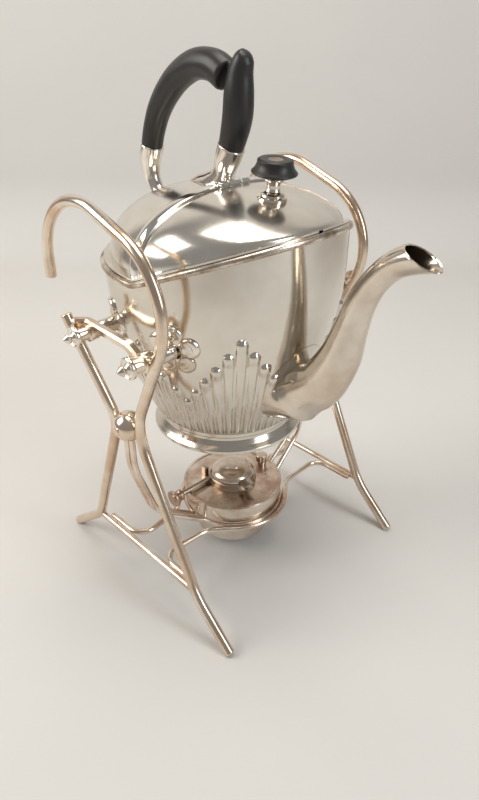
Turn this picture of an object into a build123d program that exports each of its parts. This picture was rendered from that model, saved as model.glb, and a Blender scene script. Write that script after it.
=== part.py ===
from build123d import *
import os
from math import acos, asin, atan2, cos, degrees, radians, sin, sqrt

os.makedirs("parts", exist_ok=True)

# Silver-plated tea kettle that tips on a wire-rod stand over a spirit burner.
# Millimetres. X points to the spout, Z up, the table is Z = 0, and the side
# frame nearest the viewer is at -Y. Every near piece has a mirrored far piece.

# Stand: rods and their places
ROD_D = 7.2                 # the four bent legs
WIRE_D = 4.4                # wave rods round the burner
TIE_D = 5.0                 # straight bar low in each side frame
ARM_D = 4.2                 # arms from the waist ball to the burner ring
ARM_KNEE_Z = 106.0
ARM_ELBOW = (75.5, 60.0)    # distance from the middle plane, and Z
RING_WIRE_D = 3.4           # ring that the burner sits in
FRAME_Y = 90.0              # half distance between the two side frames
WIRE_Z = 34.5               # level of ties, wave rods and burner ring
FOOT_END_Z = 1.5            # height of the middle of each rod end before filing
FRONT_FOOT_X = 92.8
FRONT_KNEE = (59.0, 31.5)
FRONT_WAIST = (5.4, 142.5)
FRONT_SHOULDER = (58.2, 252.5)
CURL_CORNER = (-77.5, 298.7)
CURL_END_Z = 223.0
REAR_FOOT_X = -94.6
REAR_KNEE = (-56.0, 33.0)
REAR_WAIST = (-15.5, 139.0)
REAR_TOP = (-47.0, 209.0)
REAR_TOP_LEAN = 10.0        # the top of each rear rod stands out to the side
BALL_R = 10.4
BALL_X = -3.0
BALL_Z = 140.5

# Pins that carry the kettle
PIN_Z = 198.5
PIN_SPREAD = 29.0           # pins stand this far before and behind the kettle's axis
PIN_R = 3.0
PIN_FIT = 0.05              # running clearance on radius
SLEEVE_R = 4.75
SLEEVE_IN = 88.0            # sleeve runs from this Y out to SLEEVE_OUT
SLEEVE_OUT = 101.5
COLLAR_R = 6.2
COLLAR_W = 6.0
HEAD_R = 7.0
HEAD_W = 2.6
HEAD_GAP = 0.3
FINIAL_L = 7.0
BOSS_R = 5.2
BOSS_END = 85.5             # outer end of each boss on the kettle
PIN_TIP = 76.0              # inner end of the pins
SLOT_FIT = 0.3              # the rear bosses lift off their pins
SLOT_W = 7.4

# Strap between the pins
STRAP_W = 6.2
STRAP_CHAMFER = 1.5
STRAP_Y = 91.0
STRAP_Z = 204.0
STRAP_DROP = 3.2

# Kettle body
KETTLE_X = -5.0
BODY_R = 80.0
WALL = 1.2
RIM_Z = 238.0               # rim behind the seam; the bead lies just under it
RIM_SLOPE = 0.385           # the front half of the rim climbs to the spout
SHOULDER_ARC = 200.0        # radius of the upper side of the body
SHOULDER_DROP = 50.0
BODY_FOOT_R = 50.5
BODY_FOOT_Z = 124.0
BEAD_R = 2.2
FOOT_R = 54.8
FOOT_Z = 109.7
COVE_R = 49.6
COVE_Z = 118.6
FOOT_WALL = 2.6
SEAM_X = 0.0                # arch where hood and lid meet
DOME_R = 74.5               # the dome stands inside the rim on a flat flange
DOME_TOP_Z = 279.5
FLANGE_T = 1.5
LID_CROWN = (36.0, 279.0)   # X and Z of a point on the middle line of the lid
LID_GAP = 0.3
BAND_IN = 6.0
BAND_OVER = 1.6
BAND_T = 1.7
BAND_GAP = 0.7
BAND_SEAT = 0.1
RIM_LEDGE = 0.4             # the flange ends this much inside the wall's outer face

# Lid hinge and knob
HINGE_R = 2.2
HINGE_PIN_R = 1.0
HINGE_X = 2.6
HINGE_RISE = 2.9            # axis above the top of the dome
NOTCH_BACK = 4.0
KNUCKLE_L = 10.0
KNUCKLE_GAP = 0.3
OUTER_KNUCKLE_L = 7.0
KNOB_X = 36.0
KNOB_LEAN = 5.0
KNOB_COLLAR_R = 9.2
KNOB_STEM_R = 4.3
KNOB_FLARE_R = 13.8
KNOB_TOP_R = 10.6
KNOB_STEM_H = 12.0
KNOB_H = 11.0

# Spout: X, Z and outside radius along its centre line, then the mouth
SPOUT = [
    (38.0, 150.5, 23.0),
    (54.0, 156.5, 21.8),
    (72.0, 164.5, 18.2),
    (87.0, 179.5, 15.0),
    (95.5, 196.5, 13.0),
    (101.0, 216.0, 10.3),
    (106.5, 234.0, 8.9),
    (114.5, 249.0, 7.9),
    (125.0, 260.5, 7.9),
    (137.0, 267.3, 8.4),
    (151.0, 272.0, 8.6),
]
SPOUT_WALL = 1.1
MOUTH_BACK = (129.5, 273.0)
MOUTH_TIP = (150.5, 264.0)

# Handle: X, Z and radius of the black grip, from the rear socket round to the front one
GRIP = [
    (-79.7, 291.0, 7.4),
    (-75.2, 304.5, 7.6),
    (-68.0, 318.0, 8.0),
    (-57.5, 330.0, 8.4),
    (-44.5, 340.0, 8.7),
    (-29.0, 346.6, 8.9),
    (-13.5, 346.6, 9.2),
    (0.5, 339.5, 9.4),
    (6.8, 326.5, 9.3),
    (5.0, 312.0, 8.6),
    (-0.7, 300.2, 7.6),
]
THUMB = [(0.0, 341.0, 7.6), (7.0, 348.5, 7.0), (12.5, 354.5, 4.6)]
SOCKET_OVER = 0.6           # sockets stand this much proud of the grip
FRONT_SOCKET_FOOT = (-12.0, 6.6)
REAR_SOCKET = [(-81.8, 281.0, 6.4), (-80.0, 271.0, 5.4), (-73.5, 263.5, 5.2), (-64.0, 257.5, 6.6)]

# Raised fingers round the lower body, one every FLUTE_PITCH degrees. They climb in four
# large fans between the spout, the sides and the back, and in a smaller fan on each side.
FLUTE_PITCH = 6.0
FLUTE_FOOT_Z = 126.0
FAN_AT = 36.0               # degrees from the spout, and from the back, to a large fan's middle
FAN_PEAK_Z = 209.0
FAN_FALL = 1.66             # millimetres that the heads drop for each degree
SIDE_PEAK_Z = 197.0
SIDE_FALL = 1.62
FLUTE_HALF = (1.7, 2.7)     # half width in degrees, at the foot and at the head
FLUTE_RELIEF = (1.1, 2.1)   # height over the wall, at the foot and at the head
SPOUT_ROOT_HALF = 22.0      # degrees each side of the spout that its root covers

# Rosettes
PETAL_COUNT = 5
PETAL_R = 6.4
PETAL_REACH = 10.6
PETAL_T = 3.2

# Burner
CUP_R = 29.0
CUP_FLOOR_Z = 8.5
DRUM_R = 38.4
DRUM_TOP_Z = 50.0
PLATE_R = 39.2
PLATE_T = 1.4
TIN = 1.0                   # sheet of the burner
SEAT_GAP = 0.3
COLLAR_TOP_Z = 57.0
WICK_COLLAR_R = 18.4
WICK_TUBE_R = 6.0
WICK_FIT = 0.1
WICK_TOP_Z = 58.0
CAP_R = 17.4
CAP_TOP_R = 6.4
CAP_TOP_Z = 64.5
TAB_W = 9.0
TAB_REACH = 27.0
TAB_T = 3.4
TAB_TURN = -12.0
FILLER_AT = (4.0, 29.0)
FILLER_R = 3.6
FILLER_CAP_R = 4.6
FILLER_TOP_Z = 60.0
SHAFT_X = -9.0
SHAFT_Z = 54.2
SHAFT_R = 2.0
SHAFT_FIT = 0.05
SHAFT_OUT = 45.0
KNOB_DISC_R = 6.6
POST_AT = (-18.0, -13.4)
POST_W = 4.0
POST_TOP_Z = 59.0

BIG = 400.0                 # side of a cutting block larger than the object

FRONT_PIN_X = KETTLE_X + PIN_SPREAD
REAR_PIN_X = KETTLE_X - PIN_SPREAD
PLATE_TOP_Z = DRUM_TOP_Z + PLATE_T


def save(name, solid):
    solid.label = name
    export_step(solid, f"parts/{name}.step")


def save_pair(name, near):
    """Write the near piece and its mirror image on the far side."""
    save(f"{name}_near", near)
    save(f"{name}_far", mirror(near, about=Plane.XZ))


def rod(points, radii, diameter):
    """Round rod along straight runs joined by tangent arcs."""
    path = FilletPolyline(*points, radius=radii)
    start = Plane(origin=path @ 0, z_dir=path % 0)
    return sweep(start * Circle(diameter / 2), path=path)


def tube_y(x, z, radius, y_from, y_to):
    """Cylinder along Y between two Y values."""
    place = Plane(origin=(x, min(y_from, y_to), z), z_dir=(0, 1, 0))
    return extrude(place * Circle(radius), abs(y_to - y_from))


def upright(edges):
    """Face in the XZ plane from edges drawn as (radius, Z)."""
    return make_face([Plane.XZ * edge for edge in edges])


def turned(profile, x=0.0, y=0.0):
    """Solid of revolution about a vertical axis, from an outline of (radius, Z) points."""
    face = make_face(Plane.XZ * Polyline(*profile, close=True))
    return Pos(x, y, 0) * revolve(face, Axis.Z)


def turned_about(profile, place):
    """Solid of revolution about the normal of a plane, from (radius, height) points."""
    face = make_face(Plane.XZ * Polyline(*profile, close=True))
    return place.location * revolve(face, Axis.Z)


def lofted(stations, shrink=0.0):
    """Loft through circles set square to a line of (X, Z, radius) stations in the middle plane."""
    sections = []
    for i, (x, z, radius) in enumerate(stations):
        before = stations[max(i - 1, 0)]
        after = stations[min(i + 1, len(stations) - 1)]
        along = Vector(after[0] - before[0], 0, after[1] - before[1])
        place = Plane(origin=(x, 0, z), x_dir=(0, 1, 0), z_dir=along)
        sections.append(place * Circle(radius - shrink))
    return loft(sections)


def side_block(x_from, x_to):
    """Block that keeps what lies between two X values."""
    return Pos((x_from + x_to) / 2, 0, 0) * Box(x_to - x_from, BIG, 3 * BIG)


def rim_plane_at(offset):
    """Sloping plane of the front rim, raised by an offset along Z."""
    return Plane(
        origin=(SEAM_X, 0, RIM_Z + offset), x_dir=(1, 0, RIM_SLOPE), z_dir=(-RIM_SLOPE, 0, 1)
    )


def over_front_rim(offset):
    """Everything above the sloping front rim."""
    return extrude(rim_plane_at(offset) * Rectangle(2 * BIG, BIG), BIG)


def over_rear_rim(offset):
    """Everything above the level rear rim."""
    return Pos(0, 0, RIM_Z + offset + BIG / 2) * Box(2 * BIG, BIG, BIG)


# Side frames. The front rod rises from the foot to the waist, bulges forward and
# curls back over the top. The rear rod rises from its foot to the waist and leans
# back to a cut end behind the rear pin.
front_rod = rod(
    [
        (FRONT_FOOT_X, -FRAME_Y, FOOT_END_Z),
        (FRONT_KNEE[0], -FRAME_Y, FRONT_KNEE[1]),
        (FRONT_WAIST[0], -FRAME_Y, FRONT_WAIST[1]),
        (FRONT_SHOULDER[0], -FRAME_Y, FRONT_SHOULDER[1]),
        (CURL_CORNER[0], -FRAME_Y, CURL_CORNER[1]),
        (CURL_CORNER[0], -FRAME_Y, CURL_END_Z),
    ],
    [60.0, 40.0, 45.0, 46.0],
    ROD_D,
)
rear_rod = rod(
    [
        (REAR_FOOT_X, -FRAME_Y, FOOT_END_Z),
        (REAR_KNEE[0], -FRAME_Y, REAR_KNEE[1]),
        (REAR_WAIST[0], -FRAME_Y, REAR_WAIST[1]),
        (REAR_TOP[0], -FRAME_Y - REAR_TOP_LEAN, REAR_TOP[1]),
    ],
    [26.0, 28.0],
    ROD_D,
)
below_table = Pos(0, 0, -BIG / 2) * Box(2 * BIG, BIG, BIG)
front_rod -= below_table
rear_rod -= below_table
save_pair("front_rod", front_rod)
save_pair("rear_rod", rear_rod)

ball_at = Pos(BALL_X, -FRAME_Y, BALL_Z) * Rot(0, 0, 90)
waist_ball = ball_at * Sphere(BALL_R) - front_rod - rear_rod
save_pair("waist_ball", waist_ball)

# Low tie of each side frame, cut to the rods that it butts on
tie_start = Plane(origin=(REAR_KNEE[0], -FRAME_Y, WIRE_Z), z_dir=(1, 0, 0))
side_tie = extrude(tie_start * Circle(TIE_D / 2), FRONT_KNEE[0] - REAR_KNEE[0] - 2.0)
side_tie = side_tie - front_rod - rear_rod
side_tie = side_tie.solids().sort_by(SortBy.VOLUME)[-1]
save_pair("side_tie", side_tie)

# Ring that the burner hangs in, and the two wave rods that wrap it and run out to the ties
burner_ring_r = DRUM_R - RING_WIRE_D / 2 + 1.5
burner_ring = Pos(0, 0, WIRE_Z) * Torus(burner_ring_r, RING_WIRE_D / 2)
save("burner_ring", burner_ring)

wrap_r = burner_ring_r + RING_WIRE_D / 2 + WIRE_D / 2
WRAP_ANGLE = 40.0
rail_y = FRAME_Y - TIE_D / 2 - WIRE_D / 2


def wave_rod(sign, end_x, turn_x, neck):
    """Rod that starts beside one tie, hugs the ring on one side and ends beside the other tie."""
    a = radians(WRAP_ANGLE)
    nose = (sign * wrap_r / cos(a), 0, WIRE_Z)
    neck_x = wrap_r * cos(a) - neck * sin(a)
    neck_y = wrap_r * sin(a) + neck * cos(a)
    points = [
        (sign * end_x, -rail_y, WIRE_Z),
        (sign * turn_x, -rail_y, WIRE_Z),
        (sign * neck_x, -neck_y, WIRE_Z),
        nose,
        (sign * neck_x, neck_y, WIRE_Z),
        (sign * turn_x, rail_y, WIRE_Z),
        (sign * end_x, rail_y, WIRE_Z),
    ]
    return rod(points, [12.0, 22.0, wrap_r, 22.0, 12.0], WIRE_D)


save("wave_rod_front", wave_rod(1, 52.0, 16.5, 22.0) - burner_ring)
save("wave_rod_rear", wave_rod(-1, 46.0, 10.0, 26.0) - burner_ring)


def ring_arm(start_x, end_x):
    """Arm from under the waist ball down and in to the outside of the burner ring."""
    ring_y = -sqrt((burner_ring_r + 1.0) ** 2 - end_x ** 2)
    elbow_x = start_x + (end_x - start_x) / 3
    points = [
        (start_x, -FRAME_Y, BALL_Z - BALL_R + 3.0),
        (start_x, -FRAME_Y, ARM_KNEE_Z),
        (elbow_x, -ARM_ELBOW[0], ARM_ELBOW[1]),
        (end_x, ring_y, WIRE_Z),
    ]
    return rod(points, [60.0, 30.0], ARM_D) - waist_ball - burner_ring


save_pair("ring_arm_front", ring_arm(-1.0, 7.0))
save_pair("ring_arm_rear", ring_arm(-7.0, -3.0))


# Sleeves for the pins, brazed to the rods, and the strap that ties them together
def sleeve(x):
    body = tube_y(x, PIN_Z, SLEEVE_R, -SLEEVE_IN, -SLEEVE_OUT)
    body += tube_y(x, PIN_Z, COLLAR_R, -SLEEVE_IN, -SLEEVE_IN - COLLAR_W)
    return body - tube_y(x, PIN_Z, PIN_R + PIN_FIT, -SLEEVE_IN + 5, -SLEEVE_OUT - 5)


front_sleeve = sleeve(FRONT_PIN_X) - front_rod
rear_sleeve = sleeve(REAR_PIN_X) - rear_rod
save_pair("front_sleeve", front_sleeve)
save_pair("rear_sleeve", rear_sleeve)

strap_path = FilletPolyline(
    (REAR_PIN_X - 9.0, -STRAP_Y - 7.0, STRAP_Z),
    (REAR_PIN_X - 2.0, -STRAP_Y, STRAP_Z),
    (FRONT_PIN_X - 16.0, -STRAP_Y, STRAP_Z - 1.0),
    (FRONT_PIN_X - 3.0, -STRAP_Y, STRAP_Z - 1.0 - STRAP_DROP - 3.0),
    radius=[5.0, 8.0],
)
strap_start = Plane(origin=strap_path @ 0, x_dir=(0, 0, 1), z_dir=strap_path % 0)
strap_section = chamfer(Rectangle(STRAP_W, STRAP_W).vertices(), STRAP_CHAMFER)
strap = sweep(strap_start * strap_section, path=strap_path)
pin_ways = tube_y(FRONT_PIN_X, PIN_Z, SLEEVE_R, -80, -110) + tube_y(
    REAR_PIN_X, PIN_Z, COLLAR_R, -80, -110
)
strap = strap - pin_ways - front_rod - rear_rod - front_sleeve - rear_sleeve
save_pair("strap", strap)


def pin(x):
    """Turned pin with a disc head and a pointed finial."""
    head_y = -SLEEVE_OUT - HEAD_GAP
    shaft = tube_y(x, PIN_Z, PIN_R, -PIN_TIP, head_y)
    outline = [
        (0, 0),
        (HEAD_R - 1.2, 0),
        (HEAD_R, 0.7),
        (HEAD_R, HEAD_W - 0.7),
        (HEAD_R - 1.4, HEAD_W),
        (3.6, HEAD_W + 0.4),
        (2.2, HEAD_W + 1.8),
        (3.0, HEAD_W + 3.4),
        (2.4, HEAD_W + 5.0),
        (0.9, HEAD_W + FINIAL_L - 0.4),
        (0, HEAD_W + FINIAL_L),
    ]
    head = turned_about(outline, Plane(origin=(x, head_y, PIN_Z), z_dir=(0, -1, 0)))
    return shaft + head


save_pair("pivot_pin", pin(FRONT_PIN_X))
save_pair("locking_pin", pin(REAR_PIN_X))


# Kettle body: a spun sheet shell, plumb at the rim and drawn in to the foot
def side_arcs(grow):
    """Upper and lower arcs of the body's side, drawn as (radius, Z)."""
    turn = degrees(asin(SHOULDER_DROP / SHOULDER_ARC))
    upper = JernArc((BODY_R + grow, RIM_Z), (0, -1), SHOULDER_ARC + grow, -turn)
    lower = TangentArc(upper @ 1, (BODY_FOOT_R + grow, BODY_FOOT_Z), tangent=upper % 1)
    return upper, lower


def body_solid(grow, z_floor):
    """Solid of the body's outer form, grown or shrunk by an amount, down to a floor."""
    top_z = RIM_Z + RIM_SLOPE * BIG / 2
    upper, lower = side_arcs(grow)
    outline = [
        Line((0, top_z), (BODY_R + grow, top_z)),
        Line((BODY_R + grow, top_z), (BODY_R + grow, RIM_Z)),
        upper,
        lower,
        Line(lower @ 1, (0, BODY_FOOT_Z)),
        Line((0, BODY_FOOT_Z), (0, top_z)),
    ]
    solid = Pos(KETTLE_X, 0, 0) * revolve(upright(outline), Axis.Z)
    if z_floor > BODY_FOOT_Z:
        solid -= Pos(KETTLE_X, 0, z_floor - BIG / 2) * Box(BIG, BIG, BIG)
    return solid


body_outer = body_solid(0.0, BODY_FOOT_Z)
body_inner = body_solid(-WALL, BODY_FOOT_Z + WALL)
above_rim = over_rear_rim(0) & side_block(-BIG, SEAM_X)
above_rim += over_front_rim(0) & side_block(SEAM_X, BIG)
spout_bore = lofted(SPOUT, shrink=SPOUT_WALL)
kettle_shell = body_outer - body_inner - above_rim - spout_bore
save("kettle_shell", kettle_shell)

foot_outline = [
    (BODY_FOOT_R, BODY_FOOT_Z),
    (COVE_R, COVE_Z),
    (FOOT_R - 1.0, FOOT_Z + 5.2),
    (FOOT_R, FOOT_Z + 3.0),
    (FOOT_R, FOOT_Z),
    (FOOT_R - FOOT_WALL, FOOT_Z),
    (COVE_R - FOOT_WALL, COVE_Z),
    (COVE_R - FOOT_WALL, BODY_FOOT_Z),
]
save("foot_ring", turned(foot_outline, KETTLE_X))

# Wire beads just under the rim: a level one behind the seam, a climbing one before it
bead_z = RIM_Z - BEAD_R
back_of_seam = SEAM_X - KETTLE_X
rim_run = sqrt(1 + RIM_SLOPE ** 2)
behind_seam = side_block(-BIG, SEAM_X)
plumb_wall = Pos(KETTLE_X, 0, bead_z) * Cylinder(BODY_R, BIG)
level_bead = Pos(KETTLE_X, 0, bead_z) * Torus(BODY_R, BEAD_R) & behind_seam
save("rim_bead_rear", level_bead - plumb_wall)
tilt = Plane(
    origin=(KETTLE_X, 0, bead_z - RIM_SLOPE * back_of_seam),
    x_dir=(1, 0, RIM_SLOPE),
    z_dir=(-RIM_SLOPE, 0, 1),
)
half_turn = degrees(acos(back_of_seam / BODY_R)) + 4
oval = Edge.make_ellipse(BODY_R * rim_run, BODY_R, start_angle=-half_turn, end_angle=half_turn)
oval = tilt * oval
oval_start = Plane(origin=oval @ 0, z_dir=oval % 0)
sloped_bead = sweep(oval_start * Circle(BEAD_R), path=oval) & side_block(SEAM_X, BIG)
save("rim_bead_front", sloped_bead - plumb_wall)

# Behind the seam the dome is half of a flattened ball that stands upright on the rim
dome_rise = DOME_TOP_Z - RIM_Z


def dome_solid(grow):
    """Flattened ball of the hood, grown or shrunk by an amount."""
    across = DOME_R + grow
    egg = scale(Sphere(1.0), by=(across, across, dome_rise + grow))
    return Pos(KETTLE_X, 0, RIM_Z) * egg


# In front of the seam it is the one ellipsoid that passes through the seam arch, the
# sloping rim oval and the crown point, with X measured from the seam:
# y^2 + a x^2 + k z^2 + c x z + d x + e z + f = 0
def lid_solid(shrink):
    crown_x = LID_CROWN[0] - SEAM_X
    crown_z = LID_CROWN[1]
    q = RIM_SLOPE
    k = (DOME_R / dome_rise) ** 2
    e = -2 * k * RIM_Z
    f = k * RIM_Z ** 2 - DOME_R ** 2 + back_of_seam ** 2
    fixed = (1 - k * q * q) * crown_x ** 2 + k * crown_z ** 2
    fixed += (2 * back_of_seam - 2 * k * RIM_Z * q - e * q) * crown_x + e * crown_z + f
    c = -fixed / (crown_x * (crown_z - RIM_Z) - q * crown_x ** 2)
    a = 1 - k * q * q - c * q
    d = 2 * back_of_seam - 2 * k * RIM_Z * q - c * RIM_Z - e * q
    det = 4 * a * k - c * c
    centre_x = (c * e - 2 * k * d) / det
    centre_z = (c * d - 2 * a * e) / det
    size = -(f + (d * centre_x + e * centre_z) / 2)
    angle = atan2(c, a - k) / 2
    spread = sqrt((a - k) ** 2 + c * c) / 2
    along = sqrt(size / ((a + k) / 2 + spread)) - shrink
    across = sqrt(size / ((a + k) / 2 - spread)) - shrink
    egg = scale(Sphere(1.0), by=(along, sqrt(size) - shrink, across))
    return Pos(SEAM_X + centre_x, 0, centre_z) * (Rot(0, -degrees(angle), 0) * egg)


# Hood: fixed rear half of the dome. Two low toes reach forward along the rim, cut to
# an arc about the hinge, so that the corners of the lid can swing past the rim.
hinge_x = SEAM_X + HINGE_X
hinge_z = DOME_TOP_Z + HINGE_RISE
swing_r = (hinge_z - RIM_Z - RIM_SLOPE * HINGE_X) / rim_run
swing_end_x = hinge_x + swing_r * RIM_SLOPE / rim_run
flange_out = Pos(KETTLE_X, 0, RIM_Z) * Cylinder(BODY_R - RIM_LEDGE, BIG)
flange_in = Pos(KETTLE_X, 0, RIM_Z) * Cylinder(DOME_R - 2 * WALL, BIG)
flange = flange_out - flange_in
front_cap = lid_solid(0.0) & over_front_rim(0)
front_cap += (flange & over_front_rim(0)) - over_front_rim(FLANGE_T)
hood = dome_solid(0.0) & over_rear_rim(0)
hood += (flange & over_rear_rim(0)) - over_rear_rim(FLANGE_T)
hood = (hood & behind_seam) - dome_solid(-WALL)
toes = (front_cap & side_block(SEAM_X, swing_end_x)) - lid_solid(WALL)
toes -= tube_y(hinge_x, hinge_z, swing_r, -BIG, BIG)
save("hood", Compound([hood, *toes.solids()]))


# Raised band on the hood's front edge; it laps over the lid and carries two hinge knuckles
def arch(grow_in, grow_out, x_from, x_to):
    """Straight run of the ring between two oval outlines of the dome, above its flange."""
    place = Plane(origin=(x_from, 0, RIM_Z), x_dir=(0, 1, 0), z_dir=(1, 0, 0))
    ring = Ellipse(DOME_R + grow_out, dome_rise + grow_out)
    ring -= Ellipse(DOME_R + grow_in, dome_rise + grow_in)
    run = extrude(place * ring, x_to - x_from)
    above = FLANGE_T + BAND_SEAT
    return run & over_rear_rim(above) & over_front_rim(above)


hood_band = arch(BAND_SEAT, BAND_T, SEAM_X - BAND_IN, SEAM_X)
hood_band += arch(BAND_GAP, BAND_T, SEAM_X, SEAM_X + BAND_OVER)
notch_half = KNUCKLE_L / 2 + KNUCKLE_GAP
notch = Pos(hinge_x - NOTCH_BACK / 2, 0, hinge_z)
hood_band -= notch * Box(NOTCH_BACK + 2 * HINGE_R, 2 * notch_half, 6 * HINGE_R)
for side in (-1, 1):
    y_in = side * notch_half
    y_out = side * (notch_half + OUTER_KNUCKLE_L)
    hood_band += tube_y(hinge_x, hinge_z, HINGE_R, y_in, y_out)
    web = Pos(hinge_x - HINGE_R, (y_in + y_out) / 2, hinge_z - HINGE_R / 2)
    hood_band += web * Box(HINGE_R, OUTER_KNUCKLE_L, HINGE_R / 2 + 0.6)
hinge_half = notch_half + OUTER_KNUCKLE_L
hinge_pin = tube_y(hinge_x, hinge_z, HINGE_PIN_R, -hinge_half, hinge_half)
hood_band -= hinge_pin
save("hood_band", hood_band)
save("hinge_pin", hinge_pin)

lid_space = over_front_rim(LID_GAP) & side_block(SEAM_X + LID_GAP, BIG)
swing_space = tube_y(hinge_x, hinge_z, swing_r - LID_GAP, -BIG, BIG)
swing_space += side_block(swing_end_x, BIG)
lid_knuckle = tube_y(hinge_x, hinge_z, HINGE_R, -KNUCKLE_L / 2, KNUCKLE_L / 2)
lid_leaf = Pos(hinge_x + HINGE_R / 2, 0, hinge_z - 2.0) * Box(HINGE_R, KNUCKLE_L, 4.0)
lid_shell = (front_cap & lid_space & swing_space) - lid_solid(WALL)
lid_shell += lid_knuckle + (lid_leaf - lid_solid(WALL))
lid_shell -= tube_y(hinge_x, hinge_z, HINGE_PIN_R + PIN_FIT, -KNUCKLE_L, KNUCKLE_L)
save("lid_shell", lid_shell)

knob_place = Plane(
    origin=(KNOB_X, 0, LID_CROWN[1] - 0.2),
    z_dir=(sin(radians(KNOB_LEAN)), 0, cos(radians(KNOB_LEAN))),
)
stem_outline = [
    (0, -2.5),
    (KNOB_COLLAR_R - 1.8, -2.5),
    (KNOB_COLLAR_R - 1.8, 1.2),
    (KNOB_COLLAR_R, 2.4),
    (KNOB_COLLAR_R, 3.6),
    (KNOB_STEM_R + 1.6, 5.0),
    (KNOB_STEM_R, 6.6),
    (KNOB_STEM_R, 8.6),
    (KNOB_STEM_R + 1.6, KNOB_STEM_H - 1.6),
    (KNOB_STEM_R + 3.4, KNOB_STEM_H),
    (0, KNOB_STEM_H),
]
knob_stem = turned_about(stem_outline, knob_place) - lid_solid(0.0)
save("knob_stem", knob_stem)
cap_outline = [
    (0, KNOB_STEM_H),
    (KNOB_STEM_R + 3.4, KNOB_STEM_H),
    (KNOB_FLARE_R - 1.0, KNOB_STEM_H + 2.6),
    (KNOB_FLARE_R, KNOB_STEM_H + 4.4),
    (KNOB_FLARE_R - 0.8, KNOB_STEM_H + 6.2),
    (KNOB_TOP_R, KNOB_STEM_H + KNOB_H - 1.0),
    (KNOB_TOP_R - 1.4, KNOB_STEM_H + KNOB_H),
    (0, KNOB_STEM_H + KNOB_H),
]
save("knob_cap", turned_about(cap_outline, knob_place))

# Spout: lofted swan neck, cut to a beak at the mouth
beak_run = (MOUTH_TIP[0] - MOUTH_BACK[0], MOUTH_TIP[1] - MOUTH_BACK[1])
beak = Plane(
    origin=(MOUTH_TIP[0], 0, MOUTH_TIP[1]),
    x_dir=(beak_run[0], 0, beak_run[1]),
    z_dir=(-beak_run[1], 0, beak_run[0]),
)
beak_cut = extrude(beak * Rectangle(BIG, BIG), BIG) & side_block(MOUTH_BACK[0] - 14.0, BIG)
spout = lofted(SPOUT) - spout_bore - beak_cut - body_outer
spout = spout.solids().sort_by(SortBy.VOLUME)[-1]
save("spout", spout)

# Raised fingers chased up the lower body, each with a rounded head
shoulder_arc, foot_arc = side_arcs(0.0)


def wall_r(z):
    """Radius of the body's outer face at a height."""
    arc = shoulder_arc if z > RIM_Z - SHOULDER_DROP else foot_arc
    centre = arc.arc_center
    return centre.X + sqrt(arc.radius ** 2 - (z - centre.Y) ** 2)


def head_z(angle):
    """Height of the finger at an angle from the spout, by the fan it belongs to."""
    from_fan = min(abs(angle - FAN_AT), abs(180.0 - angle - FAN_AT))
    from_side = abs(angle - 90.0)
    return max(FAN_PEAK_Z - FAN_FALL * from_fan, SIDE_PEAK_Z - SIDE_FALL * from_side)


def finger(top):
    """Round bar sunk in the wall, widening from the foot to a ball head, without the wall."""
    sections = []
    for share in (0.0, 0.35, 0.7, 1.0):
        half_degrees = FLUTE_HALF[0] + (FLUTE_HALF[1] - FLUTE_HALF[0]) * share
        relief = FLUTE_RELIEF[0] + (FLUTE_RELIEF[1] - FLUTE_RELIEF[0]) * share
        z = FLUTE_FOOT_Z + (top - 2 * relief - FLUTE_FOOT_Z) * share
        half = wall_r(z) * radians(half_degrees)
        radius = (half ** 2 + relief ** 2) / (2 * relief)
        lean = wall_r(z + 0.5) - wall_r(z - 0.5)
        outward = Vector(1, 0, -lean).normalized()
        centre = Vector(wall_r(z), 0, z) - outward * (radius - relief)
        place = Plane(origin=centre, x_dir=(0, 1, 0), z_dir=(lean, 0, 1))
        sections.append(place * Circle(radius))
    bar = loft(sections) + Pos(*centre) * Sphere(radius)
    return Pos(KETTLE_X, 0, 0) * bar - body_outer


about_kettle = Axis((KETTLE_X, 0, 0), (0, 0, 1))
spout_form = lofted(SPOUT)
fingers = {}
near_side = []
for i in range(int(SPOUT_ROOT_HALF / FLUTE_PITCH) + 1, int(180 / FLUTE_PITCH)):
    angle = i * FLUTE_PITCH
    top = round(head_z(angle), 2)
    if top not in fingers:
        fingers[top] = finger(top)
    piece = fingers[top].rotate(about_kettle, -angle)
    if angle < 2 * SPOUT_ROOT_HALF:
        piece = (piece - spout_form).solids().sort_by(SortBy.VOLUME)[-1]
    near_side.append(piece)
back_finger = finger(head_z(180.0)).rotate(about_kettle, 180)
save("flutes_near", Compound(near_side + [back_finger]))
save("flutes_far", mirror(Compound(near_side), about=Plane.XZ))

# Handle: black grip held between two silver sockets
grip = lofted(GRIP) + lofted(THUMB)
save("handle_grip", grip)
grip_front = GRIP[-1]
grip_rear = GRIP[0]
foot_x, foot_r = FRONT_SOCKET_FOOT
foot_z = RIM_Z + dome_rise * sqrt(1 - ((foot_x - KETTLE_X) / DOME_R) ** 2)
front_socket = lofted(
    [
        (grip_front[0] + 1.9, grip_front[1] + 4.2, grip_front[2] + SOCKET_OVER + 0.4),
        (grip_front[0] - 1.6, grip_front[1] - 3.6, grip_front[2] + SOCKET_OVER - 0.2),
        (grip_front[0] - 5.4, grip_front[1] - 12.0, 6.2),
        (foot_x, foot_z - 1.0, foot_r + 1.6),
    ]
)
rear_socket = lofted(
    [(grip_rear[0] + 1.5, grip_rear[1] + 4.0, grip_rear[2] + SOCKET_OVER + 0.3)]
    + [(grip_rear[0] - 0.4, grip_rear[1] - 2.0, grip_rear[2] + SOCKET_OVER)]
    + REAR_SOCKET
)
dome_full = dome_solid(0.0)
front_socket = front_socket - grip - dome_full - hood_band
rear_socket = rear_socket - grip - dome_full
save("handle_front_socket", front_socket)
save("handle_rear_socket", rear_socket)

# Rosettes: five petals laid on the body, with a boss square to the side for the pin
petal_layer = body_solid(PETAL_T, BODY_FOOT_Z) - body_outer


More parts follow.
